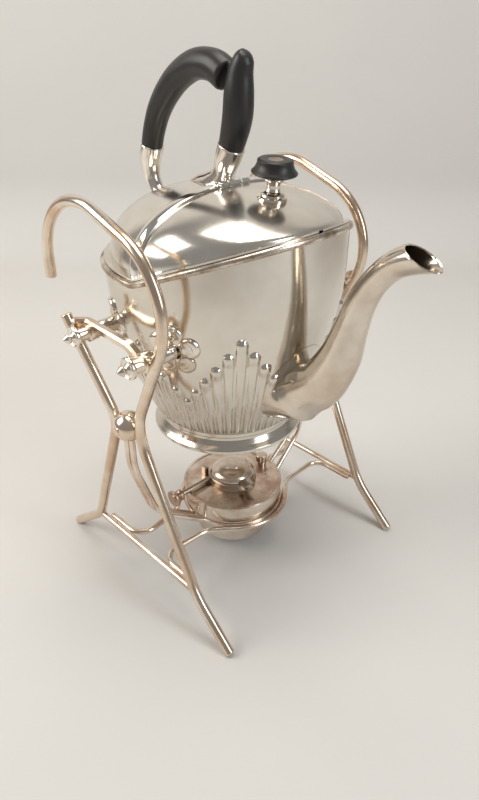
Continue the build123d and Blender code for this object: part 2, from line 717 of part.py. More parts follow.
def skin_y(x):
    """Y of the near side of the body at the height of the pins."""
    return -sqrt(wall_r(PIN_Z) ** 2 - (x - KETTLE_X) ** 2)


def flower(x):
    """Ring of round petals laid on the body, with room for the boss in the middle."""
    out_y = skin_y(x)
    dx = x - KETTLE_X
    facing = Vector(dx, out_y, 0)
    place = Plane(origin=(x, out_y, PIN_Z), x_dir=(-out_y, dx, 0), z_dir=facing)
    outline = place * Circle(PETAL_R)
    for i in range(PETAL_COUNT):
        turn = radians(90 + i * 360 / PETAL_COUNT)
        centre = Pos(PETAL_REACH * cos(turn), PETAL_REACH * sin(turn))
        outline += place * (centre * Circle(PETAL_R))
    petals = extrude(outline, 14.0, both=True) & petal_layer
    return petals - tube_y(x, PIN_Z, BOSS_R, out_y + 8.0, -BOSS_END)


def boss(x):
    """Round boss square to the side, fitted to the body."""
    return tube_y(x, PIN_Z, BOSS_R, skin_y(x) + 8.0, -BOSS_END) - body_outer


front_boss = boss(FRONT_PIN_X) - tube_y(FRONT_PIN_X, PIN_Z, PIN_R, -PIN_TIP, -BOSS_END - 1)
save_pair("front_rosette", flower(FRONT_PIN_X) + front_boss)
save_pair("rear_rosette", flower(REAR_PIN_X))

# Each rear boss is a stub that carries a fork: two cheeks and a bridge soldered together,
# open below, so that the kettle lifts off its rear pins when it tips
fork_from = PIN_TIP - HEAD_GAP
stub = boss(REAR_PIN_X) & Pos(REAR_PIN_X, 0, PIN_Z) * Box(BIG, 2 * fork_from, BIG)
fork_disc = tube_y(REAR_PIN_X, PIN_Z, BOSS_R, -fork_from, -BOSS_END)
slot_top = PIN_R + SLOT_FIT
bridge = Pos(REAR_PIN_X, 0, PIN_Z + slot_top + BIG / 2) * Box(SLOT_W, BIG, BIG)
rear_boss = [stub, fork_disc & bridge]
for side in (-1, 1):
    cheek = Pos(REAR_PIN_X + side * (SLOT_W + BIG) / 2, 0, PIN_Z) * Box(BIG, BIG, BIG)
    rear_boss.append(fork_disc & cheek)
save_pair("rear_boss", Compound(rear_boss))

# Spirit burner
drum_z = WIRE_Z + RING_WIRE_D / 2 + SEAT_GAP
cup_outline = [
    (0, CUP_FLOOR_Z),
    (CUP_R - 3.0, CUP_FLOOR_Z),
    (CUP_R, CUP_FLOOR_Z + 3.0),
    (CUP_R, drum_z),
    (CUP_R - TIN, drum_z),
    (CUP_R - TIN, CUP_FLOOR_Z + 3.4),
    (CUP_R - 3.4, CUP_FLOOR_Z + TIN),
    (0, CUP_FLOOR_Z + TIN),
]
save("burner_cup", turned(cup_outline))
drum_outline = [
    (CUP_R - TIN, drum_z),
    (DRUM_R - 0.8, drum_z),
    (DRUM_R, drum_z + 0.8),
    (DRUM_R, DRUM_TOP_Z),
    (DRUM_R - TIN, DRUM_TOP_Z),
    (DRUM_R - TIN, drum_z + TIN),
    (CUP_R - TIN, drum_z + TIN),
]
save("burner_drum", turned(drum_outline))

filler_hole = Pos(FILLER_AT[0], FILLER_AT[1], PLATE_TOP_Z) * Cylinder(FILLER_R, 10.0)
plate_outline = [
    (WICK_TUBE_R, DRUM_TOP_Z),
    (PLATE_R - 0.5, DRUM_TOP_Z),
    (PLATE_R, DRUM_TOP_Z + 0.5),
    (PLATE_R, PLATE_TOP_Z - 0.5),
    (PLATE_R - 0.5, PLATE_TOP_Z),
    (WICK_TUBE_R, PLATE_TOP_Z),
]
save("burner_plate", turned(plate_outline) - filler_hole)

shaft_bore = tube_y(SHAFT_X, SHAFT_Z, SHAFT_R + SHAFT_FIT, 0, -30)
collar_outline = [
    (WICK_COLLAR_R - 2.4, PLATE_TOP_Z),
    (WICK_COLLAR_R + 0.8, PLATE_TOP_Z),
    (WICK_COLLAR_R, PLATE_TOP_Z + 1.2),
    (WICK_COLLAR_R, COLLAR_TOP_Z - 0.8),
    (WICK_COLLAR_R - 0.8, COLLAR_TOP_Z),
    (WICK_COLLAR_R - 2.4, COLLAR_TOP_Z),
]
save("wick_collar", turned(collar_outline) - shaft_bore)

wick_r = WICK_TUBE_R - TIN - WICK_FIT
tube_outline = [
    (WICK_TUBE_R - TIN, CUP_FLOOR_Z + 6.0),
    (WICK_TUBE_R, CUP_FLOOR_Z + 6.0),
    (WICK_TUBE_R, WICK_TOP_Z - 1.0),
    (WICK_TUBE_R - TIN, WICK_TOP_Z - 1.0),
]
save("wick_tube", turned(tube_outline))
wick_outline = [
    (0, CUP_FLOOR_Z + 4.0),
    (wick_r, CUP_FLOOR_Z + 4.0),
    (wick_r, WICK_TOP_Z),
    (0, WICK_TOP_Z),
]
save("wick", turned(wick_outline))

cap_base_z = COLLAR_TOP_Z + SEAT_GAP
dome_mid = (CAP_R - 3.0, cap_base_z + 4.2)


def cap_form(inset):
    """Flat-topped dome of the snuffer cap as a solid of revolution."""
    side = ThreePointArc(
        (CAP_R - inset, cap_base_z), (dome_mid[0] - inset, dome_mid[1] - inset * 0.4),
        (CAP_TOP_R, CAP_TOP_Z - inset),
    )
    edges = [
        side,
        Line(side @ 1, (0, CAP_TOP_Z - inset)),
        Line((0, CAP_TOP_Z - inset), (0, cap_base_z)),
        Line((0, cap_base_z), side @ 0),
    ]
    return revolve(upright(edges), Axis.Z)


snuffer_cap = cap_form(0.0) - cap_form(TIN)
save("snuffer_cap", snuffer_cap)
tab_mid = (CAP_R - 4.0 + TAB_REACH) / 2
tab = Pos(tab_mid, 0, cap_base_z + TAB_T / 2) * Box(TAB_REACH - CAP_R + 4.0, TAB_W, TAB_T)
save("snuffer_tab", Rot(0, 0, TAB_TURN) * tab - cap_form(0.0))

filler_outline = [
    (FILLER_R - TIN, DRUM_TOP_Z - 4.0),
    (FILLER_R, DRUM_TOP_Z - 4.0),
    (FILLER_R, FILLER_TOP_Z - 2.4),
    (FILLER_R - TIN, FILLER_TOP_Z - 2.4),
]
save("filler_tube", turned(filler_outline, *FILLER_AT))
filler_cap_outline = [
    (0, FILLER_TOP_Z + 1.6),
    (FILLER_CAP_R - 0.6, FILLER_TOP_Z + 1.6),
    (FILLER_CAP_R, FILLER_TOP_Z + 1.0),
    (FILLER_CAP_R, FILLER_TOP_Z - 4.4),
    (FILLER_R + PIN_FIT, FILLER_TOP_Z - 4.4),
    (FILLER_R + PIN_FIT, FILLER_TOP_Z - 2.1),
    (0, FILLER_TOP_Z - 2.1),
]
save("filler_cap", turned(filler_cap_outline, *FILLER_AT))

post = Pos(POST_AT[0], POST_AT[1], (PLATE_TOP_Z + POST_TOP_Z) / 2)
post_block = post * Box(POST_W, POST_W, POST_TOP_Z - PLATE_TOP_Z)
save("regulator_post", chamfer(post_block.faces().sort_by(Axis.Z)[-1].edges(), 0.8))

save("regulator_shaft", tube_y(SHAFT_X, SHAFT_Z, SHAFT_R, -5.0, -SHAFT_OUT))
disc_outline = [
    (0, 0),
    (3.0, 0),
    (4.6, 0.8),
    (4.6, 3.4),
    (3.4, 4.6),
    (KNOB_DISC_R - 1.0, 6.4),
    (KNOB_DISC_R, 7.0),
    (KNOB_DISC_R, 8.6),
    (KNOB_DISC_R - 0.8, 9.2),
    (0, 9.2),
]
disc_place = Plane(origin=(SHAFT_X, -SHAFT_OUT, SHAFT_Z), z_dir=(0, -1, 0))
save("regulator_knob", turned_about(disc_outline, disc_place))
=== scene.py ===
from math import acos, asin, atan2, cos, pi, radians, sin, sqrt

import bmesh
import bpy
import numpy as np
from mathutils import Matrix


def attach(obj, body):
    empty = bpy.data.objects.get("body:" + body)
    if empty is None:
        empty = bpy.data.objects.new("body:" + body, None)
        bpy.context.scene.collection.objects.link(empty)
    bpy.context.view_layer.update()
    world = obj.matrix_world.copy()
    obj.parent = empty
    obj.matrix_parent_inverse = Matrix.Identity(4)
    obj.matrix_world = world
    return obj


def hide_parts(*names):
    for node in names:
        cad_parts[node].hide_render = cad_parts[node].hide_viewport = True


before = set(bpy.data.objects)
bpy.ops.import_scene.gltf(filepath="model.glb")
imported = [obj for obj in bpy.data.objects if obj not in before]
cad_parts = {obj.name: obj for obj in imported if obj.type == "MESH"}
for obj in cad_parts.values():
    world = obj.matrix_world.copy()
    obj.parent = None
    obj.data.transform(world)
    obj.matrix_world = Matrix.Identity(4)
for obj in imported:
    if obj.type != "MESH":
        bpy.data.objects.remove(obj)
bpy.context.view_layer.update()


# The viewpoint: on the near side and ahead of the spout, a little higher than the handle,
# looking down at the kettle. The lens follows from its length in heights of the picture.
EYE_AT, EYE_TILT, EYE_HEADING = (0.3069, -0.2868, 0.3780), radians(58.82), radians(46.18)
LENS_LENGTH, PICTURE_H, SENSOR_H = 656.56, 800.0, 24.0
view = bpy.data.cameras.new("viewpoint")
view.sensor_fit = "VERTICAL"
view.sensor_height = SENSOR_H
view.lens = LENS_LENGTH * SENSOR_H / PICTURE_H
view.clip_start = 0.01
eye = bpy.data.objects.new("viewpoint", view)
eye.location = EYE_AT
eye.rotation_euler = (EYE_TILT, 0.0, EYE_HEADING)
bpy.context.scene.collection.objects.link(eye)
bpy.context.scene.camera = eye


# The room: a pale table top that turns up into a pale wall, lit by one broad window on
# the left and a weaker one on the right, with a soft lamp overhead.
def paper(name, colour):
    """Matt pale surface with a very faint mottle."""
    mat = bpy.data.materials.new(name)
    mat.use_nodes = True
    tree = mat.node_tree
    shader = tree.nodes["Principled BSDF"]
    shader.inputs["Roughness"].default_value = 0.85
    place = tree.nodes.new("ShaderNodeTexCoord")
    mottle = tree.nodes.new("ShaderNodeTexNoise")
    mottle.inputs["Scale"].default_value = 9.0
    ramp = tree.nodes.new("ShaderNodeValToRGB")
    ramp.color_ramp.elements[0].color = (*[c * 0.96 for c in colour], 1)
    ramp.color_ramp.elements[1].color = (*colour, 1)
    tree.links.new(place.outputs["Object"], mottle.inputs["Vector"])
    tree.links.new(mottle.outputs["Fac"], ramp.inputs["Fac"])
    tree.links.new(ramp.outputs["Color"], shader.inputs["Base Color"])
    return mat


def room_surface():
    """A sheet that is level, then turns up through a quarter circle into a wall."""
    near_edge, reach, bend_r, wall_h, half_width = -2.2, 1.05, 0.12, 1.6, 2.5
    turn = np.linspace(0, pi / 2, 12)
    away = np.concatenate([[near_edge], reach + bend_r * np.sin(turn), [reach + bend_r]])
    height = np.concatenate([[0.0], bend_r * (1 - np.cos(turn)), [wall_h]])
    side = np.array([-half_width, half_width])
    along = np.array([-sin(EYE_HEADING), cos(EYE_HEADING)])
    across = np.array([cos(EYE_HEADING), sin(EYE_HEADING)])
    flat = away[:, None, None] * along + side[None, :, None] * across
    flat = flat + np.array(EYE_AT[:2])
    high = np.repeat(height[:, None], 2, 1)[..., None]
    return np.concatenate([flat, high], -1)


grid = room_surface()
number = np.arange(grid.shape[0] * 2).reshape(-1, 2)
quads = np.stack([number[:-1, 0], number[:-1, 1], number[1:, 1], number[1:, 0]], -1)
sheet = bpy.data.meshes.new("table_and_wall")
sheet.from_pydata(grid.reshape(-1, 3).tolist(), [], quads.tolist())
sheet.shade_smooth()
table = bpy.data.objects.new("table_and_wall", sheet)
table.data.materials.append(paper("pale_table", (0.66, 0.645, 0.62)))
bpy.context.scene.collection.objects.link(table)

world = bpy.data.worlds.new("room")
world.use_nodes = True
world.node_tree.nodes["Background"].inputs["Color"].default_value = (0.34, 0.33, 0.32, 1)
world.node_tree.nodes["Background"].inputs["Strength"].default_value = 0.8
bpy.context.scene.world = world
bpy.context.scene.view_settings.view_transform = "Standard"
MID_KETTLE = np.array((0, 0, 0.2))
for lamp_name, spot, width, tall, watts, tint in (
    ("window_left", (-0.75, -0.95, 0.95), 0.8, 0.9, 13.0, (1.0, 0.97, 0.92)),
    ("window_right", (1.15, 0.25, 0.75), 0.35, 0.9, 6.0, (0.9, 0.95, 1.0)),
    ("lamp_over", (0.0, 0.1, 1.35), 0.7, 0.7, 8.0, (1.0, 0.95, 0.88)),
):
    lamp = bpy.data.lights.new(lamp_name, "AREA")
    lamp.shape = "RECTANGLE"
    lamp.size, lamp.size_y = width, tall
    lamp.energy = watts
    lamp.color = tint
    fitting = bpy.data.objects.new(lamp_name, lamp)
    aim = MID_KETTLE - np.array(spot)
    aim = aim / np.linalg.norm(aim)
    fitting.location = spot
    fitting.rotation_euler = (acos(-aim[2]), 0.0, atan2(-aim[0], aim[1]))
    bpy.context.scene.collection.objects.link(fitting)


# Front rods: one bent rod on each side, from the foot up past the waist, round the
# shoulder and over into a hooked end. Drawn plated rod, filed flat under the foot.
def bend(points, radii, step=1.5):
    """Straight runs with an arc of the given radius at each inner corner, as points in mm."""
    points = [np.array(p, float) for p in points]
    line = [points[0][None]]
    for before, corner, after, radius in zip(points, points[1:], points[2:], radii):
        u = (before - corner) / np.linalg.norm(before - corner)
        v = (after - corner) / np.linalg.norm(after - corner)
        half = acos(float(np.clip(u @ v, -1, 1))) / 2
        sweep_angle = pi - 2 * half
        middle = (u + v) / np.linalg.norm(u + v)
        centre = corner + middle * radius / sin(half)
        first = corner + u * radius / np.tan(half) - centre
        last = corner + v * radius / np.tan(half) - centre
        t = np.linspace(0, 1, max(int(radius * sweep_angle / step), 4))[:, None]
        arc = np.sin((1 - t) * sweep_angle) * first + np.sin(t * sweep_angle) * last
        line.append(centre + arc / sin(sweep_angle))
    line.append(points[-1][None])
    return np.concatenate(line)


def spaced(line, step):
    """The same line with points at an even distance along it."""
    run = np.concatenate([[0], np.cumsum(np.linalg.norm(np.diff(line, axis=0), axis=1))])
    at = np.linspace(0, run[-1], int(run[-1] / step) + 2)
    return np.stack([np.interp(at, run, line[:, k]) for k in range(3)], -1)


def unit(arrows):
    """Rows of arrows, each divided by its length."""
    return arrows / np.linalg.norm(arrows, axis=1, keepdims=True)


def tube(line, radius, side, sides=28, ease=0.8):
    """Rings square to a line: each point is the line plus radius times cos and sin of the turn;
    both ends close over a small rounded edge."""
    radius = np.broadcast_to(np.asarray(radius, float), len(line))
    along = unit(np.gradient(line, axis=0))
    k = np.sin(np.linspace(0, pi / 2, 4))
    ends = []
    for i, sign in ((0, 1), (-1, -1)):
        lead = line[i] + sign * along[i] * ease * (1 - np.sqrt(np.clip(1 - k ** 2, 0, 1)))[:, None]
        rim = radius[i] - ease + ease * k
        ends.append((np.vstack([line[i], lead]), np.append(0.0, rim)))
    end_rows = len(k) + 1
    line = np.vstack([ends[0][0], line[1:-1], ends[1][0][::-1]])
    width = np.concatenate([ends[0][1], radius[1:-1], ends[1][1][::-1]])
    along = np.vstack([np.repeat(along[:1], end_rows, 0), along[1:-1],
                       np.repeat(along[-1:], end_rows, 0)])
    across = unit(np.cross(along, np.array(side, float)))
    up = np.cross(across, along)
    turn = np.linspace(0, 2 * pi, sides, endpoint=False)
    ring = (np.cos(turn)[None, :, None] * across[:, None]
            + np.sin(turn)[None, :, None] * up[:, None])
    return line[:, None] + width[:, None, None] * ring


def quads_round(grid, first=0):
    """Four-cornered faces between the rows of a grid whose columns close into a ring."""
    number = np.arange(grid.shape[0] * grid.shape[1]).reshape(grid.shape[:2]) + first
    after = np.roll(number, -1, 1)
    return np.stack([number[:-1], after[:-1], after[1:], number[1:]], -1).reshape(-1, 4).tolist()


def weld(mesh):
    """Points that fall together become one, and all faces turn outward."""
    work = bmesh.new()
    work.from_mesh(mesh)
    bmesh.ops.remove_doubles(work, verts=work.verts, dist=2e-6)
    bmesh.ops.recalc_face_normals(work, faces=work.faces)
    work.to_mesh(mesh)
    work.free()


# Pieces are drawn in millimetres.
MM = 0.001


def skin(name, grid, finish, body, *nodes, crease=40.0):
    """Mesh through a grid of points in mm; rows run along the piece, columns close round it."""
    mesh = bpy.data.meshes.new(name)
    mesh.from_pydata((grid.reshape(-1, 3) * MM).tolist(), [], quads_round(grid))
    weld(mesh)
    mesh.shade_smooth()
    mesh.set_sharp_from_angle(angle=radians(crease))
    piece = bpy.data.objects.new(name, mesh)
    piece.data.materials.append(finish)
    bpy.context.scene.collection.objects.link(piece)
    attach(piece, body)
    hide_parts(*nodes)


def plated(name, bright, dull, gloss, patch=26.0, scratch=0.02):
    """Metal that runs from a bright to a dull colour in soft patches, with cloudy gloss and
    fine wiping marks that stretch one way."""
    mat = bpy.data.materials.new(name)
    mat.use_nodes = True
    tree = mat.node_tree
    nodes, link = tree.nodes, tree.links.new
    shader = nodes["Principled BSDF"]
    shader.inputs["Metallic"].default_value = 1.0
    place = nodes.new("ShaderNodeTexCoord")
    cloud = nodes.new("ShaderNodeTexNoise")
    cloud.inputs["Scale"].default_value = patch
    cloud.inputs["Detail"].default_value = 5.0
    cloud.inputs["Roughness"].default_value = 0.6
    link(place.outputs["Object"], cloud.inputs["Vector"])
    ramp = nodes.new("ShaderNodeValToRGB")
    ramp.color_ramp.elements[0].position = 0.38
    ramp.color_ramp.elements[0].color = (*dull, 1)
    ramp.color_ramp.elements[1].position = 0.62
    ramp.color_ramp.elements[1].color = (*bright, 1)
    link(cloud.outputs["Fac"], ramp.inputs["Fac"])
    link(ramp.outputs["Color"], shader.inputs["Base Color"])
    haze = nodes.new("ShaderNodeMapRange")
    haze.inputs["From Min"].default_value = 0.3
    haze.inputs["From Max"].default_value = 0.7
    haze.inputs["To Min"].default_value = gloss[1]
    haze.inputs["To Max"].default_value = gloss[0]
    link(cloud.outputs["Fac"], haze.inputs["Value"])
    link(haze.outputs["Result"], shader.inputs["Roughness"])
    stretch = nodes.new("ShaderNodeMapping")
    stretch.inputs["Scale"].default_value = (1.0, 1.0, 0.12)
    wipe = nodes.new("ShaderNodeTexNoise")
    wipe.inputs["Scale"].default_value = 900.0
    wipe.inputs["Detail"].default_value = 2.0
    link(place.outputs["Object"], stretch.inputs["Vector"])
    link(stretch.outputs["Vector"], wipe.inputs["Vector"])
    marks = nodes.new("ShaderNodeBump")
    marks.inputs["Strength"].default_value = scratch
    marks.inputs["Distance"].default_value = 0.001
    link(wipe.outputs["Fac"], marks.inputs["Height"])
    link(marks.outputs["Normal"], shader.inputs["Normal"])
    return mat


rod_silver = plated("rod_silver", (0.88, 0.78, 0.66), (0.68, 0.50, 0.36), (0.14, 0.26), 22.0, 0.01)
SIDES = (("near", -1), ("far", 1))
FRAME_Y, ROD_R = 90.0, 3.6


def foot_flat(grid):
    """Nothing below the table: the foot ends are filed level."""
    grid[..., 2] = np.maximum(grid[..., 2], 0.0)
    return grid


for where, s in SIDES:
    y = s * FRAME_Y
    corners = [(92.8, y, 1.5), (59, y, 31.5), (5.4, y, 142.5), (58.2, y, 252.5),
               (-77.5, y, 298.7), (-77.5, y, 223)]
    line = spaced(bend(corners, [60, 40, 45, 46]), 2.0)
    rod = foot_flat(tube(line, ROD_R, (0, 1, 0)))
    skin(f"bent_rod_front_{where}", rod, rod_silver, "stand_frame", f"front_rod_{where}")


# Rear rods: shorter rods of the same stock that meet the front ones at the waist and lean
# outward to a square cut end behind the rear pin.
REAR_TOP_Y = 100.0
for where, s in SIDES:
    y = s * FRAME_Y
    corners = [(-94.6, y, 1.5), (-56, y, 33), (-15.5, y, 139), (-47, s * REAR_TOP_Y, 209)]
    line = spaced(bend(corners, [26, 28]), 2.0)
    rod = foot_flat(tube(line, ROD_R, (0, 1, 0)))
    skin(f"bent_rod_rear_{where}", rod, rod_silver, "stand_frame", f"rear_rod_{where}")


# Waist balls: cast and turned balls brazed between the two rods, with a small rivet head
# that faces outward.
def turned(outline, origin, axis, sides=64):
    """Outline of (radius, height) carried round an axis: the radius turns, the height slides."""
    outline = np.asarray(outline, float)
    axis = np.array(axis, float) / np.linalg.norm(axis)
    first = np.cross(axis, [0, 1, 0] if abs(axis[1]) < 0.9 else [1, 0, 0])
    first /= np.linalg.norm(first)
    second = np.cross(axis, first)
    turn = np.linspace(0, 2 * pi, sides, endpoint=False)
    ring = np.cos(turn)[:, None] * first + np.sin(turn)[:, None] * second
    return (np.array(origin, float) + outline[:, 0, None, None] * ring
            + outline[:, 1, None, None] * axis)


def rounded(outline, radius=0.4):
    """Turned outline with each inner corner eased by a small arc."""
    flat = [(r, 0.0, h) for r, h in outline]
    return bend(flat, [radius] * (len(flat) - 2), step=0.25)[:, [0, 2]]


WAIST_X, WAIST_Z, BALL_R = -3.0, 140.5, 10.4
rivet_edge = asin(0.93)
arc = np.linspace(-pi / 2, rivet_edge, 34)
ball = np.stack([BALL_R * np.cos(arc), BALL_R * np.sin(arc)], -1)
rivet = [(3.2, 9.9), (3.0, 10.6), (2.0, 11.1), (0.0, 11.3)]
for where, s in SIDES:
    grid = turned(np.vstack([ball, rivet]), (WAIST_X, s * FRAME_Y, WAIST_Z), (0, s, 0), 48)
    skin(f"waist_ball_dressed_{where}", grid, rod_silver, "stand_frame", f"waist_ball_{where}")


# Low ties: a straight thinner rod let in between the two legs of each side and brazed
# there. The wave rods are brazed along it.
wire_silver = plated("wire_silver", (0.87, 0.78, 0.68), (0.62, 0.46, 0.35), (0.16, 0.30),
                     28.0, 0.01)
WIRE_Z, TIE_R = 34.5, 2.5
for where, s in SIDES:
    y = s * FRAME_Y
    line = spaced(np.array([(-54.6, y, WIRE_Z), (57.2, y, WIRE_Z)], float), 4.0)
    skin(f"low_tie_{where}", tube(line, TIE_R, (0, 1, 0)), wire_silver, "stand_frame",
         f"side_tie_{where}")


# Burner ring: a hoop of thin plated wire with its ends brazed together. The burner drops
# into it and rests with the lower edge of its drum on the wire.
def hoop(radius, thick, z):
    """Ring of round wire: a small circle carried round a large one."""
    round_angle = np.linspace(0, 2 * pi, 145)
    small = np.linspace(0, 2 * pi, 20, endpoint=False)
    reach = radius + thick * np.cos(small)
    x = np.cos(round_angle)[:, None] * reach
    y = np.sin(round_angle)[:, None] * reach
    high = np.broadcast_to(z + thick * np.sin(small), x.shape)
    return np.stack([x, y, high], -1)


RING_R, RING_WIRE = 38.2, 1.7
skin("burner_hoop", hoop(RING_R, RING_WIRE, WIRE_Z), wire_silver, "stand_frame", "burner_ring")


# Wave rods: two thin rods that hug the hoop, swing out and lie along the low ties, where
# they are brazed. They carry the hoop and hold the two sides apart.
WAVE_R = 2.2
wrap_r = RING_R + RING_WIRE + WAVE_R
wrap_a = radians(40.0)
rail_y = FRAME_Y - TIE_R - WAVE_R
for where, s, end_x, turn_x, neck in (("front", 1, 52.0, 16.5, 22.0),
                                      ("rear", -1, 46.0, 10.0, 26.0)):
    neck_x = wrap_r * cos(wrap_a) - neck * sin(wrap_a)
    neck_y = wrap_r * sin(wrap_a) + neck * cos(wrap_a)
    half = [(s * end_x, -rail_y, WIRE_Z), (s * turn_x, -rail_y, WIRE_Z),
            (s * neck_x, -neck_y, WIRE_Z)]
    other = [(x, -y, z) for x, y, z in half[::-1]]
    corners = half + [(s * wrap_r / cos(wrap_a), 0, WIRE_Z)] + other
    line = spaced(bend(corners, [12, 22, wrap_r, 22, 12]), 1.5)
    skin(f"wave_wire_{where}", tube(line, WAVE_R, (0, 0, 1), 22), wire_silver, "stand_frame",
         f"wave_rod_{where}")


# Ring arms: a pair on each side that hang from under the waist ball and run down and in
# to the hoop. Thin plated rod, brazed at both ends.
ARM_R = 2.1
for where, s in SIDES:
    for place, top_x, end_x in (("front", -1.0, 7.0), ("rear", -7.0, -3.0)):
        elbow_x = top_x + (end_x - top_x) / 3
        ring_y = sqrt((RING_R + 1.0) ** 2 - end_x ** 2)
        corners = [(top_x, s * FRAME_Y, 134.0), (top_x, s * FRAME_Y, 106.0),
                   (elbow_x, s * 75.5, 60.0), (end_x, s * ring_y, WIRE_Z)]
        line = spaced(bend(corners, [60, 30]), 1.5)
        skin(f"hanging_arm_{place}_{where}", tube(line, ARM_R, (1, 0, 0), 22), wire_silver,
             "stand_frame", f"ring_arm_{place}_{where}")


# Sleeves: short turned bushes brazed to the rods, with a wider collar next to the kettle.
# The pins run through them.
def closed(outline):
    """The same outline, led back to its first point, for a piece with a hole through it."""
    return np.vstack([outline, outline[:1]])


PIN_Z, PIN_X = 198.5, {"front": 24.0, "rear": -34.0}
BUSH_Y, BORE_R = 88.0, 3.05
bush = closed(rounded([(BORE_R, 0.0), (6.2, 0.0), (6.2, 6.0), (4.75, 6.6), (4.75, 13.5),
                       (BORE_R, 13.5)], 0.35))
for where, s in SIDES:
    for place, x in PIN_X.items():
        grid = turned(bush, (x, s * BUSH_Y, PIN_Z), (0, s, 0), 48)
        skin(f"pin_bush_{place}_{where}", grid, rod_silver, "stand_frame",
             f"{place}_sleeve_{where}")


# Straps: a bar with bevelled edges on each side that ties the two sleeves together; its
# front end bends down to the front sleeve and its rear end turns out to the rear rod.
def bar(line, half, cut, ease=0.5):
    """Square bar with its edges cut off, carried along a line with its flats kept upright."""
    along = unit(np.gradient(line, axis=0))
    across = unit(np.cross(along, [0, 0, 1.0]))
    up = np.cross(across, along)
    a, b = half, half - cut
    shape = np.array([(a, -b), (a, b), (b, a), (-b, a), (-a, b), (-a, -b), (-b, -a), (b, -a)])
    scale = np.ones(len(line))
    scale[[0, -1]] = 1 - ease / half
    body = (line[:, None] + scale[:, None, None] * (shape[:, 0][:, None] * across[:, None]
            + shape[:, 1][:, None] * up[:, None]))
    caps = [np.repeat(p[None, None], len(shape), 1) for p in (line[0], line[-1])]
    return np.concatenate([caps[0], body, caps[1]])


STRAP_Y = 91.0
for where, s in SIDES:
    y = s * STRAP_Y
    corners = [(-43, s * 98.0, 204), (-36, y, 204), (8, y, 203), (21, y, 196.8)]
    line = spaced(bend(corners, [5, 8]), 1.5)
    skin(f"pin_strap_{where}", bar(line, 3.1, 1.4), rod_silver, "stand_frame", f"strap_{where}",
         crease=25)


# Pins: turned pins with a dished disc head and a small finial. The front pair is fixed to
# the kettle and is its pivot; the rear pair locks it and pulls out.
bright_silver = plated("bright_silver", (0.92, 0.88, 0.82), (0.74, 0.62, 0.52), (0.08, 0.18),
                       30.0, 0.008)
HEAD_Y, SHANK_R = 101.8, 3.0
shank = rounded([(0, -25.8), (2.6, -25.8), (SHANK_R, -25.2), (SHANK_R, 0.0)], 0.2)
head = rounded([(0, 0), (6.3, 0), (7.0, 0.8), (7.0, 2.4), (6.2, 3.0), (5.4, 2.2), (3.6, 2.0),
                (2.2, 3.4), (1.9, 4.4), (3.1, 5.4), (3.2, 6.6), (2.0, 8.0), (0.9, 9.3), (0, 9.6)],
               0.3)
for where, s in SIDES:
    for place, x in PIN_X.items():
        name = "pivot" if place == "front" else "locking"
        body = "kettle_body" if place == "front" else f"{where}_locking_pin"
        grid = turned(np.vstack([shank, head]), (x, s * HEAD_Y, PIN_Z), (0, s, 0), 40)
        skin(f"{name}_pin_dressed_{where}", grid, bright_silver, body, f"{name}_pin_{where}")


# Kettle wall: one spun sheet of plated metal, plumb at the rim and drawn in to the foot,
# with fans of raised fingers chased up from the foot between the side rosettes and spout.
KETTLE_X, BODY_R, RIM_Z, RIM_SLOPE = -5.0, 80.0, 238.0, 0.385
FOOT_Z, WALL_T, MEET_Z = 124.0, 1.2, 188.0
FINGER_STEP, CORNER_FANS, CORNER_PEAK, SIDE_PEAK = 6, (36, 144), 209.0, 197.0
FINGER_HIGH, FINGER_HEAD, RIDGE_HIGH, RIDGE_HALF, RIDGE_Z = 1.8, 1.1, 0.9, 0.016, 145.0


def wall_radius(z):
    """Radius of the wall at a height: two arcs that meet smoothly, each a centre's distance
    plus the root of its radius squared less the drop from the centre's height squared."""
    z_low = np.minimum(z, RIM_Z)
    upper = -120.0 + np.sqrt(200.0 ** 2 - (238.0 - z_low) ** 2)
    lower = -275.8 + np.sqrt(361.0 ** 2 - (278.3 - z_low) ** 2)
    return np.where(z > MEET_Z, upper, lower)


def finger_top(angle):
    """Height of the finger head at an angle from the spout, from the nearest fan's peak."""
    off = np.abs((angle + 180) % 360 - 180)
    corner = np.minimum(np.abs(off - CORNER_FANS[0]), np.abs(off - CORNER_FANS[1]))
    side = np.abs(off - 90)
    return np.maximum(CORNER_PEAK - 1.66 * corner, SIDE_PEAK - 1.62 * side)


def fingers(angle, z):
    """Height of relief: half-round fingers at even steps, each widest at its domed head, and
    a thin ridge in each gap below a lower line."""
    centre = np.round(angle / FINGER_STEP) * FINGER_STEP
    top = finger_top(centre)
    radius = wall_radius(z)
    half = radius * np.radians(1.65 + 1.15 * np.clip((z - FOOT_Z) / (top - FOOT_Z), 0, 1))
    across = radius * np.radians(angle - centre)
    over = np.maximum(z - (top - half), 0)
    reach = np.clip(1 - (across ** 2 + over ** 2) / half ** 2, 0, 1)
    knob = np.exp(-((z - (top - 1.2 * half)) / (1.3 * half)) ** 2)
    relief = np.sqrt(reach) * (FINGER_HIGH + FINGER_HEAD * knob)
    gap = (np.floor(angle / FINGER_STEP) + 0.5) * FINGER_STEP
    low = np.minimum(finger_top(gap - FINGER_STEP / 2), finger_top(gap + FINGER_STEP / 2))
    tip = RIDGE_Z + 0.35 * (low - RIDGE_Z)
    fade = np.clip((tip - z) / 10.0, 0, 1)
    slim = np.clip(1 - (radius * np.radians(angle - gap) / (radius * RIDGE_HALF)) ** 2, 0, 1)
    ridge = np.sqrt(slim) * RIDGE_HIGH * fade
    fade_foot = np.clip((z - FOOT_Z) / 2.0, 0, 1)
    return np.maximum(relief, ridge) * fade_foot


def rim_height(x):
    """Level behind the seam, climbing in front of it."""
    return RIM_Z + RIM_SLOPE * np.maximum(x, 0.0)


